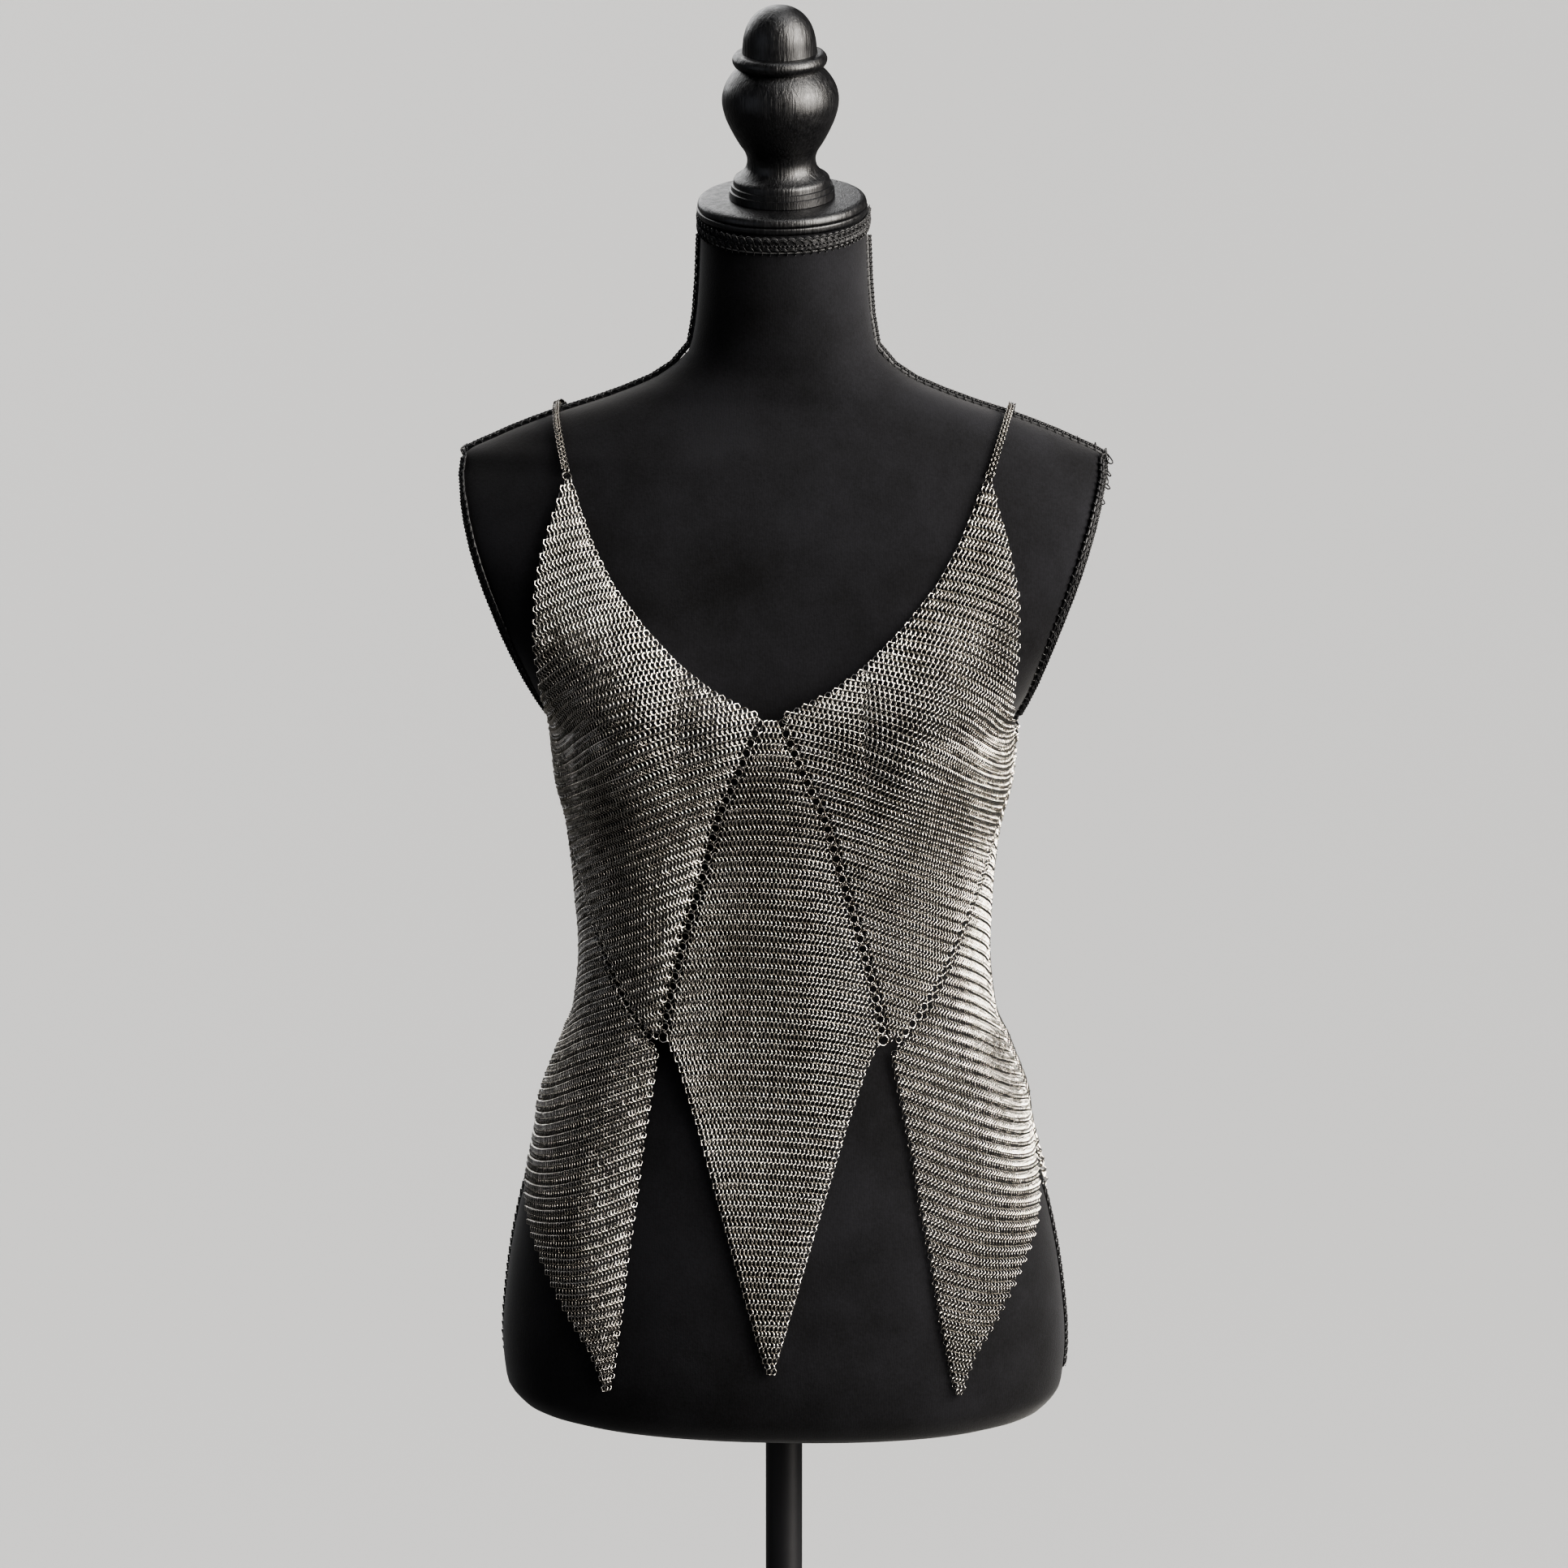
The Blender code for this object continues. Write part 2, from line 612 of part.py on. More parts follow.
def straps(collection):
    path = strap_path()
    for hand, side in (("left", 1), ("right", -1)):
        curve = bpy.data.curves.new(f"strap_{hand}", "CURVE")
        curve.dimensions = "3D"
        curve.bevel_depth = STRAP_RADIUS * MM
        curve.bevel_resolution = 2
        curve.use_fill_caps = True
        spline = curve.splines.new("POLY")
        spline.points.add(len(path) - 1)
        for point, place in zip(spline.points, to_world(mirrored(path, side))):
            point.co = (*place, 1)
        curve.materials.append(finish("steel_mail"))
        collection.objects.link(bpy.data.objects.new(f"strap_{hand}", curve))


def build():
    collection = clear_scene()
    torso(collection)
    cap = neck_place(CLEARANCE)
    turned(collection, "neck_cap", CAP_PROFILE, TURNED_STEPS["cap"], "lacquered_wood", cap)
    above = neck_place(CAP_HEIGHT + 2 * CLEARANCE)
    turned(collection, "finial", FINIAL_PROFILE, TURNED_STEPS["finial"], "lacquered_wood", above)
    braids(collection)
    stand(collection)
    panels(collection)
    link_rows(collection)
    straps(collection)


build()
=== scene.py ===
import math

import bmesh
import bpy
import numpy as np
from mathutils import Matrix, Vector


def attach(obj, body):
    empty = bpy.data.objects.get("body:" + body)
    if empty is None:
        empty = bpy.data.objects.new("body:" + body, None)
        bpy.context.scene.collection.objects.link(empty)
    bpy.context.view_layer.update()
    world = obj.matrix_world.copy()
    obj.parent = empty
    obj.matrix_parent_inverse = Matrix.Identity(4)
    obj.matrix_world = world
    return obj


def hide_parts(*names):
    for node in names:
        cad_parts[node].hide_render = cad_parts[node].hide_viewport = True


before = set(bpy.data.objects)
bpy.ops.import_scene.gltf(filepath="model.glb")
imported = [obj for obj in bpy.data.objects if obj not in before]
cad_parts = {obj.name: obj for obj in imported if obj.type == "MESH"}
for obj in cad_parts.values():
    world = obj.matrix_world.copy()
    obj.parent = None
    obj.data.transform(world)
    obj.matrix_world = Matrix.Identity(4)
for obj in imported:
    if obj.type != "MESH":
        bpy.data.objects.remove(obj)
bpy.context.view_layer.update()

# ------------------------------------------------------------
# Floor base and pole. A spun steel disc with a hub welded to it, and the steel tube that stands
# in the hub. Both are powder coated satin black, which leaves a faint orange peel.
MM = 0.001
TORSO_BOTTOM = 560
POLE_RADIUS = 10.8
POLE_BEVEL = 0.6
HUB_BORE = 11.3
HUB_SOCKET = 14
CLEARANCE = 0.3
# Edges of turned parts that bend by more than this many degrees stay crisp.
TURNED_EDGE = 38
# Flat steps in one turn of the base and of the pole.
BASE_STEPS, POLE_STEPS = 128, 48
BASE_PROFILE = (
    (0, HUB_SOCKET), (HUB_BORE, HUB_SOCKET), (HUB_BORE, 52), (17, 52), (18.4, 51.4), (19, 50),
    (19, 24), (19.6, 21.2), (21.5, 19), (24.4, 17.3), (28, 16.5), (60, 15.6), (100, 14.2), (150, 11.4),
    (153.6, 10.8), (156.4, 9.6), (158.2, 8.4), (159.3, 7), (159.9, 5.8), (160, 4.6), (160, 1.2),
    (158.8, 0), (0, 0),
)


def linear(code):
    """An sRGB hex colour as linear RGBA."""
    channels = [int(code[i : i + 2], 16) / 255 for i in (1, 3, 5)]
    return (*[c / 12.92 if c <= 0.04045 else ((c + 0.055) / 1.055) ** 2.4 for c in channels], 1)


def put(tree, kind, inputs=None, feeds=None, stops=(), **settings):
    """A new node with its settings and colour stops. An input is a value, a node, which gives its
    first output, or one output. Feeds is the node and the input that take this one's first output."""
    node = tree.nodes.new(kind)
    for name, value in settings.items():
        setattr(node, name, value)
    for socket, value in (inputs or {}).items():
        value = value.outputs[0] if isinstance(value, bpy.types.Node) else value
        if isinstance(value, bpy.types.NodeSocket):
            tree.links.new(value, node.inputs[socket])
        else:
            node.inputs[socket].default_value = value
    if feeds:
        tree.links.new(node.outputs[0], feeds[0].inputs[feeds[1]])
    for element, (position, code) in zip(node.color_ramp.elements if stops else (), stops):
        element.position, element.color = position, linear(code)
    return node


def finish(name, uniform):
    """A material with its uniform values on the shader. Returns it, its tree and its shader."""
    made = bpy.data.materials.new(name)
    made.use_nodes = True
    shader = made.node_tree.nodes["Principled BSDF"]
    for socket, value in uniform.items():
        shader.inputs[socket].default_value = value
    return made, made.node_tree, shader


def facing_out(mesh, place=None):
    """Turns a closed mesh's faces outwards, shades it smooth and moves it to its place."""
    shape = bmesh.new()
    shape.from_mesh(mesh)
    bmesh.ops.recalc_face_normals(shape, faces=shape.faces)
    shape.transform(place or Matrix.Identity(4))
    shape.to_mesh(mesh)
    shape.free()
    mesh.shade_smooth()


def baked(part):
    """The part with its modifiers made into plain mesh."""
    graph = bpy.context.evaluated_depsgraph_get()
    mesh = bpy.data.meshes.new_from_object(part.evaluated_get(graph))
    part.modifiers.clear()
    part.data = mesh
    return part


def new_part(name, mesh, material=None):
    if material:
        mesh.materials.append(material)
    part = bpy.data.objects.new(name, mesh)
    bpy.context.scene.collection.objects.link(part)
    return part


def turned(name, profile, steps, material, place=None):
    """A profile of (radius, height) in millimetres turned round its own Z axis, then placed."""
    mesh = bpy.data.meshes.new(name)
    points = [(radius * MM, 0, height * MM) for radius, height in profile]
    mesh.from_pydata(points, [(i, i + 1) for i in range(len(points) - 1)], [])
    part = new_part(name, mesh, material)
    screw = part.modifiers.new("turn", "SCREW")
    screw.steps = steps
    screw.render_steps = steps
    screw.use_merge_vertices = True
    screw.merge_threshold = 0.01 * MM
    facing_out(baked(part).data, place)
    part.data.set_sharp_from_angle(angle=math.radians(TURNED_EDGE))
    return part


# Baked powder coat: satin black, with a fine orange peel and smudges that break up its shine. The
# scale of each noise here and below is 1000 over the size of one patch in millimetres.
powder_coat, tree, shader = finish("satin_black_powder_coat", {"Base Color": linear("#1b1b1d")})
place = put(tree, "ShaderNodeTexCoord").outputs["Object"]
peel = put(tree, "ShaderNodeTexNoise", {"Vector": place, "Scale": 700.0, "Detail": 2.0})
smudge = put(tree, "ShaderNodeTexNoise", {"Vector": place, "Scale": 22.0, "Detail": 4.0})
put(
    tree, "ShaderNodeMapRange",
    {"Value": smudge, "From Min": 0.3, "From Max": 0.7, "To Min": 0.34, "To Max": 0.46},
    (shader, "Roughness"),
)
put(tree, "ShaderNodeBump", {"Height": peel, "Strength": 0.12, "Distance": 0.0002}, (shader, "Normal"))

base = turned("floor_base", BASE_PROFILE, BASE_STEPS, powder_coat)
low, high = HUB_SOCKET + CLEARANCE, TORSO_BOTTOM - CLEARANCE
inner = POLE_RADIUS - POLE_BEVEL
POLE_PROFILE = (
    (0, high), (inner, high), (POLE_RADIUS, high - POLE_BEVEL), (POLE_RADIUS, low + POLE_BEVEL),
    (inner, low), (0, low),
)
pole = turned("steel_pole", POLE_PROFILE, POLE_STEPS, powder_coat)
for part, node in ((base, "stand_base"), (pole, "stand_pole")):
    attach(part, "root")
    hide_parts(node)

# ------------------------------------------------------------
# Padded torso. Foam under black cotton jersey, pulled tight, with flat round arm ends. The
# jersey's fine ribs run up and down and its matt nap catches a little light at the edges.
NECK_TOP = 700
NECK_TILT = 13
TILT_STARTS = 640
# Level sections of the body, up from the hem. Front and back are depths from the side seam, arm is
# half the depth of the flat side, and fullness is 2 for an ellipse and more for a squarer one.
SECTION_COLUMNS = ("height", "half_width", "front", "back", "arm", "fullness")
SECTIONS = (
    (0, 138, 84, 84, 3, 2.2),
    (6, 153, 98, 100, 3, 2.2),
    (20, 163, 109, 113, 3, 2.2),
    (44, 165, 113, 120, 3, 2.2),
    (80, 162, 112, 124, 3, 2.2),
    (120, 155, 109, 123, 3, 2.2),
    (160, 143.5, 104, 116, 3, 2.2),
    (190, 136, 99, 108, 3, 2.2),
    (215, 126.5, 96, 101, 3, 2.2),
    (240, 118.5, 93, 94, 3, 2.2),
    (275, 115, 91, 87, 3, 2.2),
    (310, 116.5, 91.5, 84, 3, 2.2),
    (345, 120.5, 94, 86, 3, 2.2),
    (375, 128, 97, 90, 3, 2.15),
    (405, 131.5, 98, 95, 3, 2.0),
    (430, 143, 96, 98, 24, 1.75),
    (465, 157, 90, 101, 46, 1.45),
    (500, 170, 81, 102, 49, 1.35),
    (535, 180, 71, 98, 36, 1.3),
    (560, 184, 62, 91, 12, 1.35),
    (572, 163, 56, 84, 5, 1.6),
    (584, 133, 51, 77, 4, 1.8),
    (596, 97, 48, 68, 4, 2.0),
    (608, 70, 48, 57, 4, 2.0),
    (624, 53, 52, 46, 4, 2.0),
    (655, 48.5, 57, 38, 4, 2.0),
    (700, 46.5, 60, 32, 4, 2.0),
)
WIDTH_POWER = 2 / 2.2
BUST = {"across": 84, "height": 408, "rise": 17, "spread": 36, "above": 62, "below": 40}
DRAPE = {"front": 5, "back": 8, "height": 290, "reach": 75}
# Between its two sides the hung mail bridges the bust's hollow by this share, and below this height
# it hangs straight down.
BUST_BRIDGE = 0.45
HANGS_BELOW = 60
RIB_PITCH = 1.5
# Edges of the torso that bend by more than this many degrees stay crisp.
TORSO_EDGE = 50


def eased(s, start, end, leaving, arriving):
    """From start to end as s goes from 0 to 1, at these slopes."""
    first = (2 * s**3 - 3 * s**2 + 1) * start + (s**3 - 2 * s**2 + s) * leaving
    return first + ((3 * s**2 - 2 * s**3) * end + (s**3 - s**2) * arriving)


def column(name, heights):
    """One column of SECTIONS at any heights, on a smooth curve with no overshoot."""
    table = np.array(SECTIONS, float)
    at, values = table[:, 0], table[:, SECTION_COLUMNS.index(name)]
    step = np.diff(at)
    slope = np.diff(values) / step
    before, after = slope[:-1], slope[1:]
    turning = before * after <= 0
    both = np.where(turning, 1, before + after)
    inner = np.where(turning, 0, 2 * before * after / both)
    tangent = np.concatenate([slope[:1], inner, slope[-1:]])
    heights = np.clip(np.asarray(heights, float), at[0], at[-1])
    i = np.clip(np.searchsorted(at, heights) - 1, 0, len(at) - 2)
    s = (heights - at[i]) / step[i]
    return eased(s, values[i], values[i + 1], step[i] * tangent[i], step[i] * tangent[i + 1])


def bust_rise(x, heights, bridge):
    """How far the bust stands out. A bridge above 0 spans the hollow in its middle."""
    reach = np.where(heights > BUST["height"], BUST["above"], BUST["below"])
    level = np.exp(-(((heights - BUST["height"]) / reach) ** 2))
    across = np.exp(-(((np.abs(x) - BUST["across"]) / BUST["spread"]) ** 2))
    spanned = np.where(np.abs(x) < BUST["across"], np.maximum(across, bridge), across)
    return BUST["rise"] * level * spanned


def section_points(angles, heights, worn):
    """Points of the body, or with worn True of the hanging mail's surface, before any offset.

    An angle is 0 at the middle of the front, 90 at the left side seam and 180 at the back.
    """
    angles, heights = np.broadcast_arrays(np.asarray(angles, float), np.asarray(heights, float))
    level = np.maximum(heights, HANGS_BELOW) if worn else heights
    across = np.abs(np.sin(np.radians(angles)))
    forward = np.abs(np.cos(np.radians(angles)))
    x = column("half_width", level) * np.sign(np.sin(np.radians(angles))) * across**WIDTH_POWER
    in_front = np.cos(np.radians(angles)) >= 0
    depth = np.where(in_front, column("front", level), column("back", level))
    arm = column("arm", level)
    y = arm + (depth - arm) * forward ** (2 / column("fullness", level))
    y += np.where(in_front, bust_rise(x, level, BUST_BRIDGE if worn else 0), 0)
    if worn:
        off = np.where(in_front, DRAPE["front"], DRAPE["back"]) * forward
        y += off * np.exp(-(((heights - DRAPE["height"]) / DRAPE["reach"]) ** 2))
    return np.stack([x, np.where(in_front, -y, y), heights], -1)


def tilted(points):
    """Leans the level sections of the neck forward, to the slope of its cap."""
    lean = np.clip((points[..., 2] - TILT_STARTS) / (NECK_TOP - TILT_STARTS), 0, 1)
    middle = (column("back", NECK_TOP) - column("front", NECK_TOP)) / 2
    lift = lean * math.tan(math.radians(NECK_TILT)) * (points[..., 1] - middle)
    return points + np.stack([0 * lift, 0 * lift, lift], -1)


def to_world(points):
    return (np.asarray(points, float) + np.array([0, 0, TORSO_BOTTOM])) * MM


def closed_part(name, points, faces, material):
    """A part of closed shells, from points in millimetres above the torso's underside."""
    mesh = bpy.data.meshes.new(name)
    mesh.from_pydata(to_world(points).tolist(), [], faces)
    part = new_part(name, mesh, material)
    facing_out(mesh)
    return part


def grid_faces(rows, columns, closed_columns=False, closed_rows=False):
    faces = []
    for row in range(rows if closed_rows else rows - 1):
        for left in range(columns if closed_columns else columns - 1):
            low, high = row * columns, (row + 1) % rows * columns
            right = (left + 1) % columns
            faces.append((low + left, low + right, high + right, high + left))
    return faces


# Cotton jersey, knitted and brushed: a deep black that greys where the nap catches the light. Its
# ribs are drawn 1.5 mm apart, because the real ones, under 1 mm, are too fine to show.
jersey, tree, shader = finish(
    "black_cotton_jersey",
    {"Roughness": 0.92, "Sheen Weight": 0.1, "Sheen Roughness": 0.4, "Specular IOR Level": 0.2},
)
place = put(tree, "ShaderNodeTexCoord").outputs["Object"]
cut = put(tree, "ShaderNodeUVMap", uv_map="cut_mm")
across = put(tree, "ShaderNodeSeparateXYZ", {"Vector": cut})
wander = put(tree, "ShaderNodeTexNoise", {"Vector": place, "Scale": 90.0, "Detail": 3.0})
shift = put(tree, "ShaderNodeMath", {0: wander, 1: 5.0, 2: across}, operation="MULTIPLY_ADD")
turn = put(tree, "ShaderNodeMath", {0: shift, 1: 2 * math.pi / RIB_PITCH}, operation="MULTIPLY")
rib = put(tree, "ShaderNodeMath", {0: turn}, operation="SINE")
nap = put(tree, "ShaderNodeTexNoise", {"Vector": place, "Scale": 600.0, "Detail": 5.0, "Roughness": 0.7})
relief = put(tree, "ShaderNodeMath", {0: rib, 1: 0.05, 2: nap}, operation="MULTIPLY_ADD")
put(tree, "ShaderNodeBump", {"Height": relief, "Strength": 0.5, "Distance": 0.0003}, (shader, "Normal"))
cloud = put(tree, "ShaderNodeTexNoise", {"Vector": place, "Scale": 14.0, "Detail": 5.0, "Roughness": 0.6})
both = put(tree, "ShaderNodeMath", {0: nap, 1: 0.55, 2: cloud}, operation="MULTIPLY_ADD")
put(
    tree, "ShaderNodeValToRGB", {"Fac": both}, (shader, "Base Color"),
    ((0.55, "#050506"), (0.95, "#161619")),
)

# Two columns stand at each side, and the second is turned over to the back of the flat arm end.
quarter = np.concatenate([np.linspace(0, 80, 21), [84, 87, 89, 90]])
back_half = 180 - quarter[::-1]
ring = np.concatenate([quarter, back_half, -back_half[-2::-1], -quarter[:0:-1]])
# Levels up the torso: those of the rounded hem, then runs from, to and by these, closer where the
# arm ends and the shoulders curve.
hem = [0, 2, 4, 6, 9, 13, 17, 21, 27, 34]
runs = ((42, 400, 9), (400, 446, 4), (452, 548, 8), (550, 612, 3), (614, 700, 7))
heights = np.concatenate([hem, *(np.arange(*run) for run in runs), [NECK_TOP]])
angles, levels_up = np.meshgrid(ring, heights)
points = section_points(angles, levels_up, False)
back_of_side = (len(quarter), 3 * len(quarter) - 2)
points[:, back_of_side, 1] *= -1
around = np.linalg.norm(np.diff(points, axis=1, append=points[:, :1]), axis=2)
along = np.concatenate([np.zeros((len(heights), 1)), np.cumsum(around, axis=1)], axis=1)
along[:, len(ring) // 2 + 1 :] -= along[:, -1:]
points = tilted(points)
rows, columns = angles.shape
faces = grid_faces(rows, columns, closed_columns=True)
faces += [tuple(range(columns))[::-1], tuple(range((rows - 1) * columns, rows * columns))]
torso = closed_part("jersey_torso", points.reshape(-1, 3), faces, jersey)
mesh = torso.data
cut_map = mesh.uv_layers.new(name="cut_mm")
corner = np.zeros(len(mesh.loops), np.int32)
mesh.loops.foreach_get("vertex_index", corner)
flat = np.stack([along[:, :-1].ravel(), levels_up.ravel()], -1)[corner]
cut_map.data.foreach_set("uv", flat.astype(np.float32).ravel())
mesh.set_sharp_from_angle(angle=math.radians(TORSO_EDGE))
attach(torso, "root")
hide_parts("dress_form_torso")

# ------------------------------------------------------------
# Braids. Black viscose gimp plaited flat and glued over the jersey's seams: one wide band round
# the neck with a scrolled edge on each side, and narrow ones on the shoulders, arm ends and hips.
HANDS = (("left", 1), ("right", -1))
BRAID_THICKNESS = 2.2
# How far each braid's line stands off the jersey, where it runs, and how finely it is followed.
NECK_BRAID = {"lift": 1.1, "height": 693.5, "degrees": 5}
SIDE_BRAID = {"lift": 0.5, "low": 26, "high": 184, "points": 12}
SHOULDER_BRAID_HEIGHTS = (562, 563.5, 565, 567, 571, 575, 580, 586, 592, 598, 605, 613, 625, 642, 662, 685)
# The arm braid lies this many degrees inside the flat end's edge, and its points stand a step apart
# but for the end ones. Turn is how far braids face out from the seam towards the front.
ARM_BRAID = {"lift": 1.4, "low": 414, "high": 562, "turn": 1.2, "inward": 6, "step": 13, "end_step": 8}
SHOULDER_BRAID = {"lift": 1.4, "turn": 1.8, "forward": 2.8}
# Each run of strands: its place from the middle, half width, length of one turn, how many strands
# and their radius, and how far they swing along the braid, which turns them into scrolls.
NECK_PLAITS = (
    (0, 1.2, 4.7, 2, 0.5, 0), (-2.9, 2.6, 4.7, 1, 0.46, 1.5), (2.9, 2.6, 4.7, 1, 0.46, 1.5),
    (-2.6, 1.5, 4.7, 1, 0.42, 0.7), (2.6, 1.5, 4.7, 1, 0.42, 0.7),
)
NARROW_PLAIT = ((-0.5, 2.0, 5.0, 1, 0.48, 1.6), (1.6, 0.8, 5.0, 2, 0.45, 0))
ARM_PLAIT = ((1.7, 2.4, 4.8, 1, 0.55, 1.5), (-1.8, 1.2, 4.8, 2, 0.52, 0), (1.5, 1.1, 4.8, 1, 0.45, 0.6))
# The tape under the strands is this much narrower than they are on each side.
TAPE = {"inside": 1.1, "thickness": 0.9, "glued": 0.5, "middle": 0.4}
TAPE_SIDES, STRAND_SIDES = 6, 4
# The middles of strands keep these shares of their radius inside the braid's edge and its face.
# Early is how long before they cross the middle they stand highest, in radians of their rise and fall.
LAY = {"edge": 0.6, "face": 0.75, "early": 0.6}
# Millimetres from point to point along the strands.
NECK_STEP, NARROW_STEP = 0.7, 0.85
# Loose threads at the tip of the left shoulder: height, how far forward, half the loop's height and
# width, and how it is turned.
FRAYED = (
    (566, 2, 3.6, 2.2, 0.2), (560, -1, 2.6, 3.2, 1.3), (553, 3, 2.4, 2.8, 2.4), (562, -4, 3.2, 1.8, 0.9),
    (545, -2, 2.2, 3.6, 1.9), (570, -2, 2.8, 1.6, 2.9), (549, 4, 3.0, 2.0, 0.4), (536, -3, 2.2, 2.6, 1.1),
)
# Each loop makes this many half turns, is kinked by this much, and has this share of its width from
# front to back.
FRAY = {"radius": 0.4, "lift": 0.6, "half_turns": 1.7, "points": 18, "kink": 0.5, "across": 0.7}


def unit(vectors):
    return vectors / np.linalg.norm(vectors, axis=-1, keepdims=True)


def mirrored(points, side):
    return np.asarray(points) * np.array([side, 1, 1])


def distances(path):
    """How far along the path each of its points is."""
    return np.concatenate([[0], np.cumsum(np.linalg.norm(np.diff(path, axis=0), axis=1))])


def read_at(wanted, at, values):
    """Rows of values, given at these places, read at the wanted ones."""
    return np.stack([np.interp(wanted, at, column_of) for column_of in values.T], -1)


def resampled(path, outward, step, closed):
    """The path and its outward directions at even steps, where these are, and the whole length."""
    if closed:
        path, outward = np.vstack([path, path[:1]]), np.vstack([outward, outward[:1]])
    far = distances(path)
    at = np.linspace(0, far[-1], int(round(far[-1] / step)) + 1)
    at = at[:-1] if closed else at
    return read_at(at, far, path), unit(read_at(at, far, outward)), at, far[-1]


def strand(path, side, outward, radius, sides, closed):
    """Points and faces of a round cord along a path."""
    around = np.linspace(0, 2 * math.pi, sides, endpoint=False)[None, :, None]
    points = path[:, None] + radius * (np.cos(around) * side[:, None] + np.sin(around) * outward[:, None])
    faces = grid_faces(len(path), sides, closed_columns=True, closed_rows=closed)
    if not closed:
        faces += [tuple(range(sides))[::-1], tuple(range((len(path) - 1) * sides, len(path) * sides))]
    return points.reshape(-1, 3), faces


def joined(strands):
    """The points and faces of many strands as those of one."""
    points, faces, used = [], [], 0
    for more_points, more_faces in strands:
        faces += [tuple(corner + used for corner in face) for face in more_faces]
        points.append(more_points)
        used += len(more_points)
    return np.vstack(points), faces


def braid(name, path, outward, plaits, step, closed, material):
    """A flat braid: its strands weave or scroll from side to side, over and under each other."""
    path, outward, at, whole = resampled(path, outward, step, closed)
    ahead = (np.roll(path, -1, 0) - np.roll(path, 1, 0)) if closed else np.gradient(path, axis=0)
    side = unit(np.cross(ahead, outward))
    forward = unit(ahead)
    path = path - outward * TAPE["glued"]
    tape_half = max(abs(plait[0]) + plait[1] for plait in plaits) - TAPE["inside"]
    tape_side = side * (2 * tape_half / TAPE["thickness"])
    tape_line = path + outward * TAPE["middle"]
    strands = [strand(tape_line, tape_side, outward, TAPE["thickness"] / 2, TAPE_SIDES, closed)]
    for middle, half_width, turn, count, radius, swing in plaits:
        turns = max(1, round(whole / turn))
        for i in range(count):
            phase = 2 * math.pi * (turns * at / whole + i / count)
            across = middle + (half_width - radius * LAY["edge"]) * np.sin(phase)
            over = np.cos((1 if swing else 2) * phase + LAY["early"])
            height = BRAID_THICKNESS / 2 + (BRAID_THICKNESS / 2 - radius * LAY["face"]) * over
            line = path + side * across[:, None] + outward * height[:, None]
            line = line + forward * (swing * np.cos(phase))[:, None]
            strands.append(strand(line, side, outward, radius, STRAND_SIDES, closed))
    return closed_part(name, *joined(strands), material)


# Viscose gimp, spun over a core: black with a soft sheen, and small glints from the yarn's twist.
gimp, tree, shader = finish(
    "black_viscose_gimp",
    {"Roughness": 0.5, "Sheen Weight": 0.2, "Sheen Roughness": 0.35, "Specular IOR Level": 0.4},
)
place = put(tree, "ShaderNodeTexCoord").outputs["Object"]
yarn = put(tree, "ShaderNodeTexNoise", {"Vector": place, "Scale": 1600.0, "Detail": 2.0})
put(tree, "ShaderNodeBump", {"Height": yarn, "Strength": 0.45, "Distance": 0.0002}, (shader, "Normal"))
put(
    tree, "ShaderNodeValToRGB", {"Fac": yarn}, (shader, "Base Color"),
    ((0.35, "#09090a"), (0.7, "#1a1a1d")),
)


def neck_place(above):
    """On the neck's leaning axis, this far above the neck's top."""
    middle = (column("back", NECK_TOP) - column("front", NECK_TOP)) / 2
    top = Vector((0, float(middle) * MM, (TORSO_BOTTOM + NECK_TOP) * MM))
    lean = Matrix.Rotation(math.radians(NECK_TILT), 4, "X")
    return Matrix.Translation(top) @ lean @ Matrix.Translation((0, 0, above * MM))


def side_line(heights):
    """Points and outward directions along the middle of the left side, from the hip to the neck."""
    points = section_points(np.full(len(heights), 90.0), heights, False)
    points[:, 1] = 0
    points = tilted(points)
    slope = np.gradient(points, axis=0)
    return points, unit(np.stack([slope[:, 2], 0 * slope[:, 2], -slope[:, 0]], -1))


def shoulder_line(heights):
    """The left side's line over the shoulder, where the braid leans towards the front."""
    points, outward = side_line(heights)
    ahead = np.array([0.0, -1.0, 0.0])
    return points + SHOULDER_BRAID["forward"] * ahead, unit(outward + SHOULDER_BRAID["turn"] * ahead)


def arm_rim():
    """Points and outward directions round the edge of the flat left arm end."""
    low, high, end_step = (ARM_BRAID[key] for key in ("low", "high", "end_step"))
    between = np.arange(low + end_step, high - end_step, ARM_BRAID["step"])
    heights = np.concatenate([[low], between, [high]])
    points = section_points(np.full(len(heights), 90.0 - ARM_BRAID["inward"]), heights, False)
    points[:, 1] = -np.abs(points[:, 1])
    slope = (column("half_width", high) - column("half_width", low)) / (high - low)
    sideways = np.array([1, 0, -slope]) / math.hypot(1, slope)
    loop = np.concatenate([points * (1, -1, 1), points[::-1]])
    level = np.array([0.0, 1.0, 0.0])
    return loop, unit(sideways + level * ARM_BRAID["turn"] * np.sign(loop[:, 1:2]))


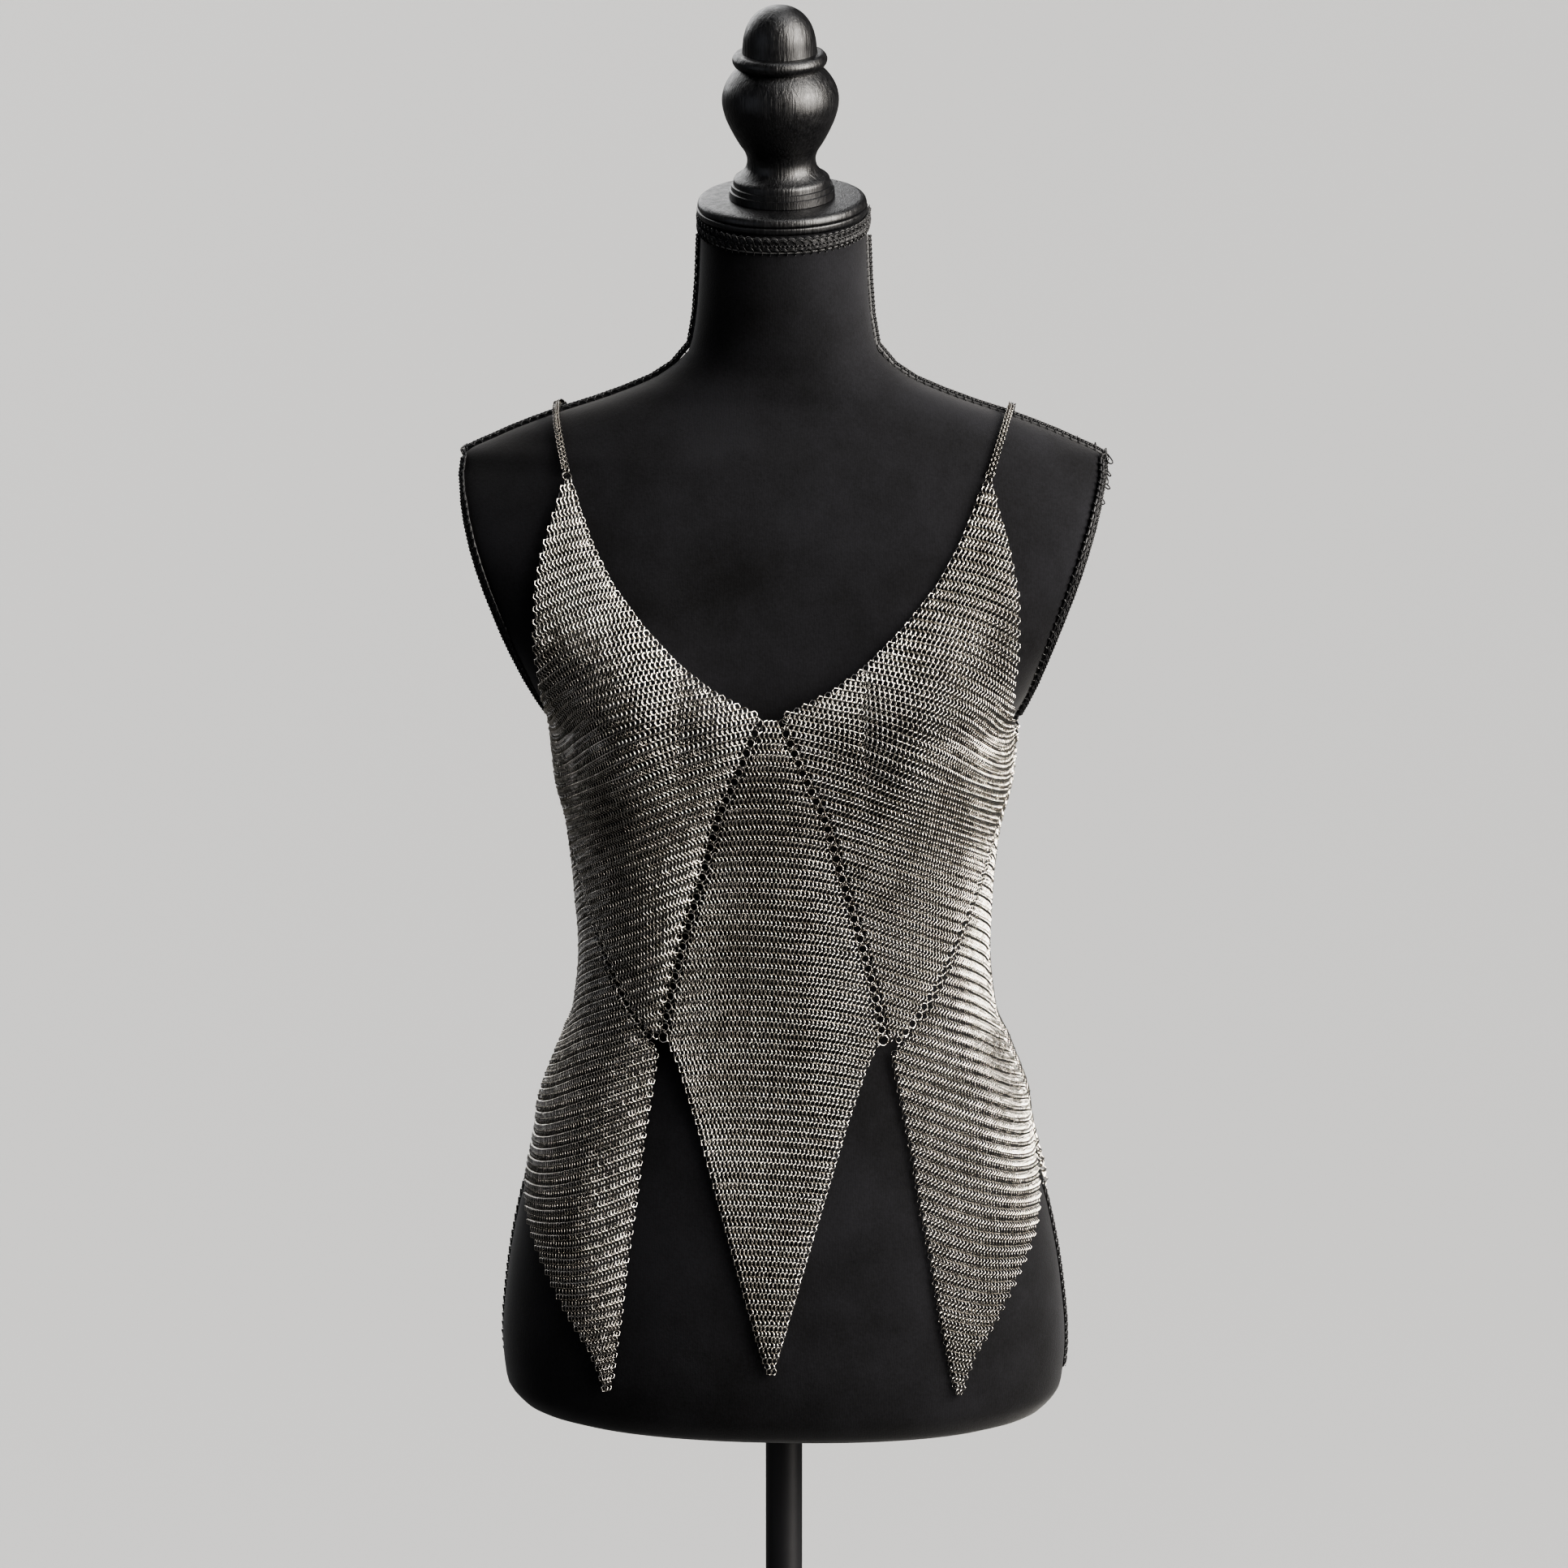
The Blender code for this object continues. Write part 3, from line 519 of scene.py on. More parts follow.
def frayed(name, threads, material):
    """Loose loops of thread that stand off the tip of the left shoulder."""
    strands = []
    turn = np.linspace(0, FRAY["half_turns"] * math.pi, FRAY["points"])
    # No thread runs this way, so the sides of each can be found from it.
    aslant = np.array([0.3, 0.5, 0.8])
    for height, forward, tall, wide, start in threads:
        root = section_points(np.array([90.0]), np.array([float(height)]), False)[0] * (1, 0, 1)
        root = root + np.array([FRAY["lift"], -forward, 0])
        line = root + np.stack(
            [wide * (1 - np.cos(turn)) / 2 + FRAY["kink"] * np.sin(2 * turn + start),
             wide * np.sin(turn + start) * FRAY["across"], tall * np.sin(turn + start / 2)], -1
        )
        along = unit(np.gradient(line, axis=0))
        side = unit(np.cross(along, aslant))
        strands.append(strand(line, side, np.cross(side, along), FRAY["radius"], STRAND_SIDES, False))
    return closed_part(name, *joined(strands), material)


neck_angles = np.arange(-180.0, 180, NECK_BRAID["degrees"])
neck_path = tilted(section_points(neck_angles, np.full(len(neck_angles), NECK_BRAID["height"]), False))
neck_axis = np.array(neck_place(0).to_3x3() @ Vector((0, 0, 1)))
neck_out = unit(np.cross(np.roll(neck_path, -1, 0) - np.roll(neck_path, 1, 0), neck_axis))
neck_path = neck_path + neck_out * NECK_BRAID["lift"]
braids = {"neck_braid": braid("gimp_neck", neck_path, neck_out, NECK_PLAITS, NECK_STEP, True, gimp)}
side_heights = np.linspace(*(SIDE_BRAID[key] for key in ("low", "high", "points")))
narrow = (
    ("shoulder_braid", shoulder_line(SHOULDER_BRAID_HEIGHTS), SHOULDER_BRAID, NARROW_PLAIT, False),
    ("side_braid", side_line(side_heights), SIDE_BRAID, NARROW_PLAIT, False),
    ("arm_braid", arm_rim(), ARM_BRAID, ARM_PLAIT, True),
)
for kind, (path, outward), sizes, plaits, closed in narrow:
    lifted = path + outward * sizes["lift"]
    for hand, side in HANDS:
        own_plaits = [(middle * side, *rest) for middle, *rest in plaits]
        braids[f"{kind}_{hand}"] = braid(
            f"gimp_{kind}_{hand}", mirrored(lifted, side), mirrored(outward, side), own_plaits,
            NARROW_STEP, closed, gimp,
        )
for node, part in braids.items():
    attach(part, "root")
    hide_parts(node)
threads = frayed("frayed_threads", FRAYED, gimp)
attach(threads, "root")

# ------------------------------------------------------------
# Neck cap and finial. Turned wood under black lacquer, screwed to the neck block. The grain
# shows through the lacquer as fine upright lines, and the beads have worn a little.
CAP_HEIGHT = 9.6
# Flat steps in one turn of the cap and of the finial, and in each stretch of a smooth run.
CAP_STEPS, FINIAL_STEPS, RUN_STEPS = 128, 96, 4
# Radius, height, and 1 where the edge is crisp.
CAP_PROFILE = (
    (0, 9.6, 1), (44.2, 9.6, 1), (46.8, 8.6, 0), (47.9, 6.6, 0), (47.9, 4.9, 0), (47.1, 4.4, 1),
    (48.3, 3.8, 0), (48.5, 2.4, 0), (48.3, 1, 0), (47.5, 0, 1), (0, 0, 1),
)
FINIAL_PROFILE = (
    (0, 110, 1), (7, 108.8, 0), (13, 105.4, 0), (17.4, 100, 0), (20, 93, 0), (20.9, 86, 0), (21.2, 83.4, 1),
    (25, 82.6, 0), (26.8, 79.4, 0), (25.6, 76.2, 0), (23.6, 74.6, 1), (28.2, 69.5, 0), (31.8, 63, 0),
    (33, 56, 0), (31.8, 48.5, 0), (28.4, 40, 0), (23.8, 31.5, 0), (20.4, 26, 0), (19.4, 21.5, 0),
    (20.4, 17, 0), (23.4, 13.4, 0), (27, 10.8, 0), (27.6, 7.6, 1), (28.6, 7.2, 1), (28.8, 4.6, 1),
    (29.8, 4.2, 1), (30, 0, 1), (0, 0, 1),
)


def flowing(profile):
    """A profile with smooth runs between its crisp edges."""
    table = np.array(profile, float)
    crisp = np.flatnonzero(table[:, 2])
    runs = []
    for start, end in zip(crisp[:-1], crisp[1:]):
        run = table[start : end + 1, :2]
        if len(run) == 2:
            runs.append(run[:-1])
            continue
        far = distances(run)
        slope = np.gradient(run, far, axis=0)
        for k in range(len(run) - 1):
            s = np.linspace(0, 1, RUN_STEPS, endpoint=False)[:, None]
            long = far[k + 1] - far[k]
            runs.append(eased(s, run[k], run[k + 1], long * slope[k], long * slope[k + 1]))
    runs.append(table[-1:, :2])
    return np.abs(np.vstack(runs))


# Black lacquer, brushed on turned wood: deep black with a gloss that upright grain breaks up.
lacquer, tree, shader = finish(
    "black_lacquered_wood", {"Coat Weight": 0.15, "Coat Roughness": 0.34, "Specular IOR Level": 0.4}
)
place = put(tree, "ShaderNodeTexCoord").outputs["Object"]
upright = put(tree, "ShaderNodeMapping", {"Vector": place, "Scale": (900.0, 900.0, 26.0)})
fibre = put(tree, "ShaderNodeTexNoise", {"Vector": upright, "Scale": 1.0, "Detail": 4.0})
pores = put(tree, "ShaderNodeTexNoise", {"Vector": place, "Scale": 260.0, "Detail": 3.0})
put(
    tree, "ShaderNodeValToRGB", {"Fac": fibre}, (shader, "Base Color"),
    ((0.38, "#070708"), (0.7, "#141416")),
)
put(
    tree, "ShaderNodeMapRange",
    {"Value": pores, "From Min": 0.3, "From Max": 0.7, "To Min": 0.33, "To Max": 0.5},
    (shader, "Roughness"),
)
crazed = put(
    tree, "ShaderNodeTexNoise", {"Vector": upright, "Scale": 0.45, "Detail": 5.0, "Distortion": 1.6}
)
uneven = put(tree, "ShaderNodeMath", {0: crazed, 1: 1.6, 2: fibre}, operation="MULTIPLY_ADD")
put(tree, "ShaderNodeBump", {"Height": uneven, "Strength": 0.6, "Distance": 0.0004}, (shader, "Normal"))
cap = turned("wooden_neck_cap", flowing(CAP_PROFILE), CAP_STEPS, lacquer, neck_place(CLEARANCE))
finial_place = neck_place(CAP_HEIGHT + 2 * CLEARANCE)
finial = turned("wooden_finial", flowing(FINIAL_PROFILE), FINIAL_STEPS, lacquer, finial_place)
for part, node in ((cap, "neck_cap"), (finial, "finial")):
    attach(part, "root")
    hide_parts(node)

# ------------------------------------------------------------
# Mail panels. Butted steel rings linked four to one: each row's rings lean one way and the next
# row's lean the other, so they shine in turn. Panels are woven to shape, row by row, and hung.
# The real rings are 4.4 mm across in 0.55 mm wire. They are drawn larger by RING_SCALE, and with
# few sides, because the weave is too fine and too heavy to draw ring for ring.
RING_SCALE = {"front": 1.06, "back": 1.28}
RING = {"pitch": 2.16, "row_pitch": 2.87, "radius": 1.92}
RING_WIRE = {"centre": 0.35, "cup": 0.375, "side": 0.31}
# Degrees that rings lean over in their rows, and how much that differs from ring to ring.
RING_LEAN = 41
LEAN_SPREAD = 3
FLATTEST_LEAN = 8
# A row's end rings stand this far inside the panel's edges, and pull along the rings this near.
EDGE_INSET = 1.1
EDGE_REACH = 9
# The middle of the rings stands this far off the body.
MAIL_LIFT = 2.8
SEAM_WIDTH = 6.0
# Edges and seams of one half of the top, low end first, as girth from the middle and height.
CENTRE_SEAM = ((63, 236), (60, 255), (50, 294), (38.7, 333), (30, 366), (17.6, 394), (6, 422))
CUP_SEAM = (
    (71, 236), (86, 251), (110.4, 285), (134.5, 319), (153.6, 347), (168.5, 371), (180, 392),
)
NECKLINE = (
    (3.5, 424), (14, 428), (34, 438), (53.5, 452), (72, 471), (90.5, 494), (103, 516), (117.5, 551),
)
ARMHOLE = (
    (183, 398), (169, 410), (153, 425), (145, 441), (140.5, 465), (137.5, 490), (131.5, 515),
    (120.5, 551),
)
BACK_NECKLINE = ((3.5, 424), (40, 436), (75, 448), (104, 462))
BACK_ARMHOLE = ((182, 399), (160, 412), (135, 433), (108, 462))
CENTRE_HEM = ((1.8, 49), (20.5, 115), (42.3, 190), (53, 222))
SIDE_HEM_INNER = ((100, 33), (92, 76), (87, 111), (81.5, 142), (77, 173), (71, 205), (67, 229))
SIDE_HEM_OUTER = (
    (103, 33), (112, 55), (128, 75), (145, 98), (162, 118), (172, 132), (182, 149), (189, 168),
)
SIDE_SEAM = (190, 392)
# The front hip points swing round by this much at their tips, from this height down.
SWING = {"tip": 6.5, "starts": 250, "tip_height": 33}
# How many degrees the rows of each panel fall away from the middle as they hang: the girths along
# the top, then a line for each height. They sag at the sides and bunch up under the arms.
ROW_FALL = {
    "centre": (
        (0, 15, 30, 45, 66),
        ((40, 0, 1, 4, 8, 10), (300, 0, 3, 8, 13, 16), (366, 0, 6, 15, 20, 22), (430, 0, 14, 22, 24, 26)),
    ),
    "cup": (
        (0, 45, 75, 100, 125, 140, 155, 190),
        (
            (236, 18, 22, 22, 21, 21, 21, 20, 18),
            (300, 18, 22, 20, 19, 20, 19, 17, 13),
            (345, 16, 20, 21, 20, 19, 16, 10, -2),
            (385, 15, 18, 21, 21, 20, 16, 8, -22),
            (400, 13, 16, 19, 20, 21, 20, 10, -30),
            (420, 10, 12, 17, 19, 23, 25, 18, -6),
            (445, 20, 8, 14, 18, 25, 29, 26, 20),
            (475, 17, 15, 10, 15, 24, 28, 28, 28),
            (510, 17, 17, 14, 10, 20, 24, 24, 24),
            (551, 17, 17, 15, 12, 14, 18, 18, 18),
        ),
    ),
    "side": (
        (60, 85, 100, 115, 130, 145, 160, 195),
        (
            (40, 26, 24, 20, 9, 3, 0, -4, -12),
            (80, 28, 25, 20, 14, 4, 2, -3, -14),
            (110, 27, 25, 20, 16, 9, 6, 0, -14),
            (145, 25, 23, 20, 17, 15, 12, 6, -10),
            (175, 23, 21, 20, 19, 17, 16, 12, -2),
            (205, 21, 20, 20, 20, 21, 20, 18, 12),
            (240, 20, 20, 20, 20, 22, 22, 22, 24),
            (300, 20, 20, 20, 20, 20, 20, 20, 20),
            (400, 18, 18, 18, 18, 18, 18, 18, 16),
        ),
    ),
}
# How far the rings are pulled apart along their rows, in the same way. A bust pulls them open.
ROW_STRETCH = {
    "centre": ((0, 66), ((40, 1, 1), (430, 1, 1))),
    "cup": (
        (0, 30, 60, 90, 115, 190),
        (
            (236, 1, 1, 1, 1, 1, 1),
            (330, 1, 1, 1, 1, 1, 0.98),
            (375, 1.05, 1.1, 1.12, 1.06, 1, 0.92),
            (410, 1.12, 1.24, 1.3, 1.16, 1, 0.9),
            (440, 1.08, 1.18, 1.26, 1.15, 1, 0.92),
            (480, 1, 1, 1.02, 1, 0.98, 0.98),
            (551, 0.92, 0.92, 0.92, 0.92, 0.92, 0.92),
        ),
    ),
    "side": ((0, 110, 160, 190), ((40, 1, 1, 0.88, 0.84), (400, 1, 1, 0.88, 0.84))),
}
# Soft creases of the hanging mail, front and then back. Each runs between two places, as girth
# (above 0 on the wearer's left) and height, and then come its half width and how far it stands out.
CREASES = {
    False: (
        (134, 486, 140, 448, 9, 1.4), (104, 372, 98, 334, 11, -0.9), (118, 184, 126, 168, 13, 1.1),
        (168, 214, 180, 190, 11, 2.4), (150, 330, 158, 292, 12, 1.0), (34, 404, 58, 392, 10, -0.7),
        (-100, 384, -92, 296, 10, -1.1), (-141, 462, -146, 414, 9, 1.3), (-84, 262, -78, 240, 9, -0.8),
        (-166, 212, -176, 184, 11, 2.1), (-112, 150, -108, 96, 12, 0.8), (-152, 340, -160, 306, 13, 0.9),
        (12, 300, 20, 214, 16, 0.8), (-30, 332, -22, 268, 13, -0.6),
    ),
    True: (
        (92, 452, 74, 400, 13, 1.3), (120, 392, 108, 318, 12, -0.9), (166, 216, 178, 188, 12, 2.2),
        (40, 338, 30, 256, 15, 0.9), (104, 196, 112, 132, 12, 0.8), (-90, 448, -80, 408, 12, 1.1),
        (-114, 380, -104, 326, 10, -1.0), (-168, 220, -176, 196, 11, 1.9), (-20, 322, -14, 236, 13, -0.6),
        (-110, 184, -102, 112, 13, 0.9), (-146, 352, -154, 300, 12, 0.8),
    ),
}
# Degrees that the weave of each panel lies over from level, and the centre's turn as it hangs.
WOVEN_FALL = {"centre": 0, "cup": 20, "side": 19}
CENTRE_TWIST = 2.5
# How finely seams, edges and rows are followed, and the rounds in which a row finds its height.
SEAM_READINGS = 12
EDGE_READINGS = 300
ROW_READINGS = 160
SETTLING_ROUNDS = 12
# The hanging mail's girth from the middle, by degree and height. The keys here and below tell the
# front, False, from the back, True. All tables have a row every GRID_STEP of height, and a read at
# the top stays this little below the last one.
GRID_STEP = 3
BELOW_LAST = 0.001
girth_heights = np.arange(20.0, 573, GRID_STEP)
girth_angles = {False: np.linspace(0, 90, 91), True: np.linspace(180, 90, 91)}
girth_table = {}
for back, angles_here in girth_angles.items():
    levels = section_points(angles_here[None], girth_heights[:, None], True)
    girth_table[back] = np.array([distances(level) for level in levels])


def side_girth(heights, back):
    return np.interp(heights, girth_heights, girth_table[back][:, -1])


def hung_angle(girths, heights, back):
    """The body's angle at each girth and height on the wearer's left."""
    share = (heights - girth_heights[0]) / GRID_STEP
    share = np.clip(share, 0, len(girth_heights) - 1 - BELOW_LAST)
    row = share.astype(int)
    share = share - row
    angles = np.zeros(len(girths))
    for i in np.unique(row):
        here = row == i
        low = np.interp(girths[here], girth_table[back][i], girth_angles[back])
        high = np.interp(girths[here], girth_table[back][i + 1], girth_angles[back])
        angles[here] = low * (1 - share[here]) + high * share[here]
    return angles


def creased(girths, heights, back):
    """How far the creases lift the mail off its even hang, with girths above 0 on the left."""
    rise = np.zeros(len(girths))
    for low_girth, low_height, high_girth, high_height, wide, out in CREASES[back]:
        run = np.array([high_girth - low_girth, high_height - low_height], float)
        from_low = np.stack([girths - low_girth, heights - low_height], -1)
        share = np.clip(from_low @ run / (run @ run), 0, 1)
        rise += out * np.exp(-(np.linalg.norm(from_low - share[:, None] * run, axis=1) / wide) ** 2)
    return rise


def surface(angles, heights, worn):
    """Points of the body or of the hanging mail, and their outward directions. At the mail's side
    seam, where front and back meet, the surface runs straight back."""
    step = 0.5
    turn = np.where(worn & (np.abs(angles - 90) < 1), 0.0, step)
    along, up = (
        section_points(angles + a, heights + h, worn) - section_points(angles - a, heights - h, worn)
        for a, h in ((turn, 0), (0, step))
    )
    along = np.where((turn == 0)[:, None], np.array([0.0, 1.0, 0.0]), along)
    return section_points(angles, heights, worn), unit(np.cross(along, up))


def on_mail(girths, heights, back, side):
    """Points of the hanging mail. A side of -1 has the creases of the wearer's right, unmirrored."""
    points, outward = surface(hung_angle(np.abs(girths), heights, back), heights, True)
    points = points + (MAIL_LIFT + creased(girths * side, heights, back))[:, None] * outward
    points[:, 0] *= np.where(girths < 0, -1.0, 1.0)
    return points


def ring_frames(girths, heights, back, fall, side):
    """Points of rings, and the directions along and across their rows, as long as they stretch."""
    reach = 0.8
    level, rise = reach * np.cos(np.radians(fall)), reach * np.sin(np.radians(fall))
    along, up = (
        (on_mail(girths + g, heights + h, back, side) - on_mail(girths - g, heights - h, back, side))
        / (2 * reach)
        for g, h in ((level, -rise), (rise, level))
    )
    return on_mail(girths, heights, back, side), along, up


table_girths = np.arange(0.0, 217, 1.5)
table_heights = np.arange(20.0, 572, GRID_STEP)


def spread_out(table):
    """A table's values on the fine grid of heights and girths, straight between its own."""
    columns, lines = table
    across = np.array([np.interp(table_girths, columns, line[1:]) for line in lines])
    own = [line[0] for line in lines]
    return np.stack([np.interp(table_heights, own, across[:, i]) for i in range(len(table_girths))], 1)


def summed(values):
    """The running sum of a grid's values from the middle outwards."""
    steps = (values[:, 1:] + values[:, :-1]) / 2 * (table_girths[1] - table_girths[0])
    return np.concatenate([np.zeros((len(values), 1)), np.cumsum(steps, axis=1)], 1)


def looked_up(grid, girths, heights):
    """A grid's values, straight between its own."""
    at = []
    for values, wanted in ((table_heights, heights), (table_girths, np.abs(girths))):
        share = (wanted - values[0]) / (values[1] - values[0])
        share = np.clip(share, 0, len(values) - 1 - BELOW_LAST)
        at += [share.astype(int), share - share.astype(int)]
    row, up, column_at, across = at
    low = grid[row, column_at] * (1 - across) + grid[row, column_at + 1] * across
    high = grid[row + 1, column_at] * (1 - across) + grid[row + 1, column_at + 1] * across
    return low * (1 - up) + high * up


fall_grids = {kind: spread_out(table) for kind, table in ROW_FALL.items()}
drop_grids = {kind: summed(np.tan(np.radians(grid))) for kind, grid in fall_grids.items()}
stretch_grids = {kind: spread_out(table) for kind, table in ROW_STRETCH.items()}
width_grids = {kind: summed(1 / grid) for kind, grid in stretch_grids.items()}


def drop(kind, girths, heights):
    """How far a row has fallen at a girth, from its height at the middle."""
    twist = math.tan(math.radians(CENTRE_TWIST)) * girths if kind == "centre" else 0
    return looked_up(drop_grids[kind], girths, heights) + twist


def shifted(edge, girth):
    return np.array(edge, float) + np.array([girth, 0])


def from_side(edge, back):
    """An edge of the front moved to the back, at the same distance from the side seam."""
    edge = np.array(edge, float)
    if back:
        edge[:, 0] += side_girth(edge[:, 1], True) - side_girth(edge[:, 1], False)
    return edge


def side_edge(back, inset):
    heights = np.linspace(*SIDE_SEAM, SEAM_READINGS)
    return np.stack([side_girth(heights, back) - inset, heights], -1)


def panel_edges(back):
    """The inner and outer edge of each panel on the wearer's left, low end first."""
    half = SEAM_WIDTH / 2
    cup_seam = from_side(CUP_SEAM, back)
    centre = np.vstack([CENTRE_HEM, shifted(CENTRE_SEAM, -half)])
    neckline, armhole = (BACK_NECKLINE, BACK_ARMHOLE) if back else (NECKLINE, ARMHOLE)
    return {
        "centre": (centre * (-1, 1), centre),
        "cup": (
            np.vstack([shifted(CENTRE_SEAM, half), neckline]),
            np.vstack([shifted(cup_seam, -half), armhole]),
        ),
        "side": (
            np.vstack([from_side(SIDE_HEM_INNER, back), shifted(cup_seam, half)]),
            np.vstack([from_side(SIDE_HEM_OUTER, back), side_edge(back, half)]),
        ),
    }


def woven(inner, outer, kind, scale):
    """The girth, height, hand, fall and stretch of a panel's rings. Row ends meet the edges."""
    ring_pitch = RING["pitch"] * scale
    lean = math.radians(WOVEN_FALL[kind])
    ends = []
    for edge in (inner, outer):
        knots = np.arange(len(edge))
        girths, heights = read_at(np.linspace(0, knots[-1], EDGE_READINGS), knots, edge).T
        ends.append((girths, np.maximum.accumulate(heights + drop(kind, girths, heights))))
    pitch = RING["row_pitch"] * scale / math.cos(lean)
    low = max(levels[0] for _, levels in ends) + pitch / 2
    high = min(levels[-1] for _, levels in ends) - pitch / 2
    rings = []
    for row, level in enumerate(np.linspace(low, high, int((high - low) / pitch))):
        across = [np.interp(level, levels, edge) for edge, levels in ends]
        girths = np.linspace(*across, ROW_READINGS)
        heights = np.full(ROW_READINGS, level)
        for _ in range(SETTLING_ROUNDS):
            heights = level - drop(kind, girths, heights)
        width = np.sign(girths) * looked_up(width_grids[kind], girths, heights)
        width = width * math.cos(lean) - heights * math.sin(lean)
        first, last = width[0] + EDGE_INSET, width[-1] - EDGE_INSET
        if last < first:
            first = last = (first + last) / 2
        half_step = 0.5 * (row % 2)
        numbers = [round(end / ring_pitch - half_step) for end in (first, last)]
        place = (np.arange(numbers[0], numbers[1] + 1) + half_step) * ring_pitch
        snapped = place + (first - place[0]) * np.exp((place[0] - place) / EDGE_REACH)
        snapped += (last - place[-1]) * np.exp((place - place[-1]) / EDGE_REACH)
        if len(place) == 1:
            snapped = np.array([(first + last) / 2])
        girth, height = np.interp(snapped, width, girths), np.interp(snapped, width, heights)
        fall = looked_up(fall_grids[kind], girth, height)
        fall = fall * np.sign(girth) + CENTRE_TWIST if kind == "centre" else fall
        stretch = looked_up(stretch_grids[kind], girth, height)
        rings.append(np.stack([girth, height, np.full(len(girth), 1.0 - 2 * (row % 2)), fall, stretch], -1))
    return np.vstack(rings)


def swung(girths, heights, side):
    """The girths of a front hip point's rings as it hangs, turned towards the wearer's left."""
    share = (SWING["starts"] - heights) / (SWING["starts"] - SWING["tip_height"])
    return girths + side * SWING["tip"] * np.clip(share, 0, 1)


# One ring of wire, put at each point of a piece, turned to its row and leant over in it.
ring_tree = bpy.data.node_groups.new("linked_rings", "GeometryNodeTree")
sockets = {
    "Rings": "Geometry", "Ring radius": "Float", "Wire radius": "Float", "Ring sides": "Int",
    "Wire sides": "Int", "Wire": "Material", "Mail": "Geometry",
}
ring_inputs = {
    label: ring_tree.interface.new_socket(
        name=label, in_out="OUTPUT" if label == "Mail" else "INPUT", socket_type="NodeSocket" + kind
    ).identifier
    for label, kind in sockets.items()
}
bed = put(ring_tree, "NodeGroupInput").outputs
round_ring, round_wire = (
    put(
        ring_tree, "GeometryNodeCurvePrimitiveCircle",
        {"Resolution": bed[f"{what} sides"], "Radius": bed[f"{what} radius"]},
    )
    for what in ("Ring", "Wire")
)
one_ring = put(ring_tree, "GeometryNodeCurveToMesh", {"Curve": round_ring, "Profile Curve": round_wire})
smooth_ring = put(ring_tree, "GeometryNodeSetShadeSmooth", {"Geometry": one_ring})
read = {
    label: put(ring_tree, "GeometryNodeInputNamedAttribute", {"Name": label}, data_type=kind)
    for label, kind in (
        ("along", "FLOAT_VECTOR"), ("up", "FLOAT_VECTOR"), ("size", "FLOAT_VECTOR"), ("lean", "FLOAT")
    )
}
square = put(
    ring_tree, "FunctionNodeAxesToRotation", {"Primary Axis": read["up"], "Secondary Axis": read["along"]},
    primary_axis="Y", secondary_axis="X",
)
leaning = put(ring_tree, "FunctionNodeAxisAngleToRotation", {"Axis": (0, 1, 0), "Angle": read["lean"]})
leant = put(
    ring_tree, "FunctionNodeRotateRotation",
    {"Rotation": square, "Rotate By": leaning}, rotation_space="LOCAL",
)
placed = put(
    ring_tree, "GeometryNodeInstanceOnPoints",
    {"Points": bed["Rings"], "Instance": smooth_ring, "Rotation": leant, "Scale": read["size"]},
)
real = put(ring_tree, "GeometryNodeRealizeInstances", {"Geometry": placed})
wired = put(ring_tree, "GeometryNodeSetMaterial", {"Geometry": real, "Material": bed["Wire"]})
put(ring_tree, "NodeGroupOutput", {0: wired})


def ringed(name, rings, side, sides, radius, wire, material):
    """A piece of mail, made by the linked_rings tree. The rings are their points in millimetres, the
    directions along and across their rows, their leans and their sizes, on the wearer's left."""
    points, along, up = (mirrored(values, side) for values in rings[:3])
    lean, size = rings[3:]
    spin = np.random.default_rng(len(points))
    mesh = bpy.data.meshes.new(name)
    mesh.from_pydata(to_world(points).tolist(), [], [])
    facing = np.sign(np.sum(np.cross(along, up) * points * (1, 1, 0), axis=1))[:, None]
    values = {
        "along": ("FLOAT_VECTOR", "vector", unit(along * facing)),
        "up": ("FLOAT_VECTOR", "vector", unit(up)),
        "size": ("FLOAT_VECTOR", "vector", size),
        "lean": ("FLOAT", "value", np.radians(lean + spin.normal(0, LEAN_SPREAD, len(points)))),
        "tone": ("FLOAT", "value", spin.random(len(points))),
    }
    for key, (kind, field, data) in values.items():
        own = mesh.attributes.new(key, kind, "POINT").data
        own.foreach_set(field, np.ascontiguousarray(data, np.float32).ravel())
    part = new_part(name, mesh)
    weave = part.modifiers.new("weave", "NODES")
    weave.node_group = ring_tree
    chosen = (radius * MM, wire * MM, *sides, material)
    for label, value in zip(("Ring radius", "Wire radius", "Ring sides", "Wire sides", "Wire"), chosen):
        weave[ring_inputs[label]] = value
    baked(part)
    for key in ("along", "up", "size", "lean"):
        left = part.data.attributes.get(key)
        if left:
            part.data.attributes.remove(left)
    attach(part, "root")
    return part


# Butted steel wire, tumbled until it shines softly. Each ring has its own grey, and the top as a
# whole is clouded by handling, which gives the eye a weave of separate rings.
steel, tree, shader = finish("tumbled_steel_wire", {"Metallic": 1.0})
place = put(tree, "ShaderNodeTexCoord").outputs["Object"]
ring_tone = put(tree, "ShaderNodeAttribute", attribute_name="tone").outputs["Fac"]
cloud = put(tree, "ShaderNodeTexNoise", {"Vector": place, "Scale": 45.0, "Detail": 3.0})
mixed = put(tree, "ShaderNodeMath", {0: ring_tone, 1: 0.6, 2: cloud}, operation="MULTIPLY_ADD")
put(
    tree, "ShaderNodeValToRGB", {"Fac": mixed}, (shader, "Base Color"),
    ((0.35, "#938f88"), (1.0, "#cdc9c2")),
)
put(
    tree, "ShaderNodeMapRange",
    {"Value": mixed, "From Min": 0.3, "From Max": 1.1, "To Min": 0.28, "To Max": 0.18},
    (shader, "Roughness"),
)

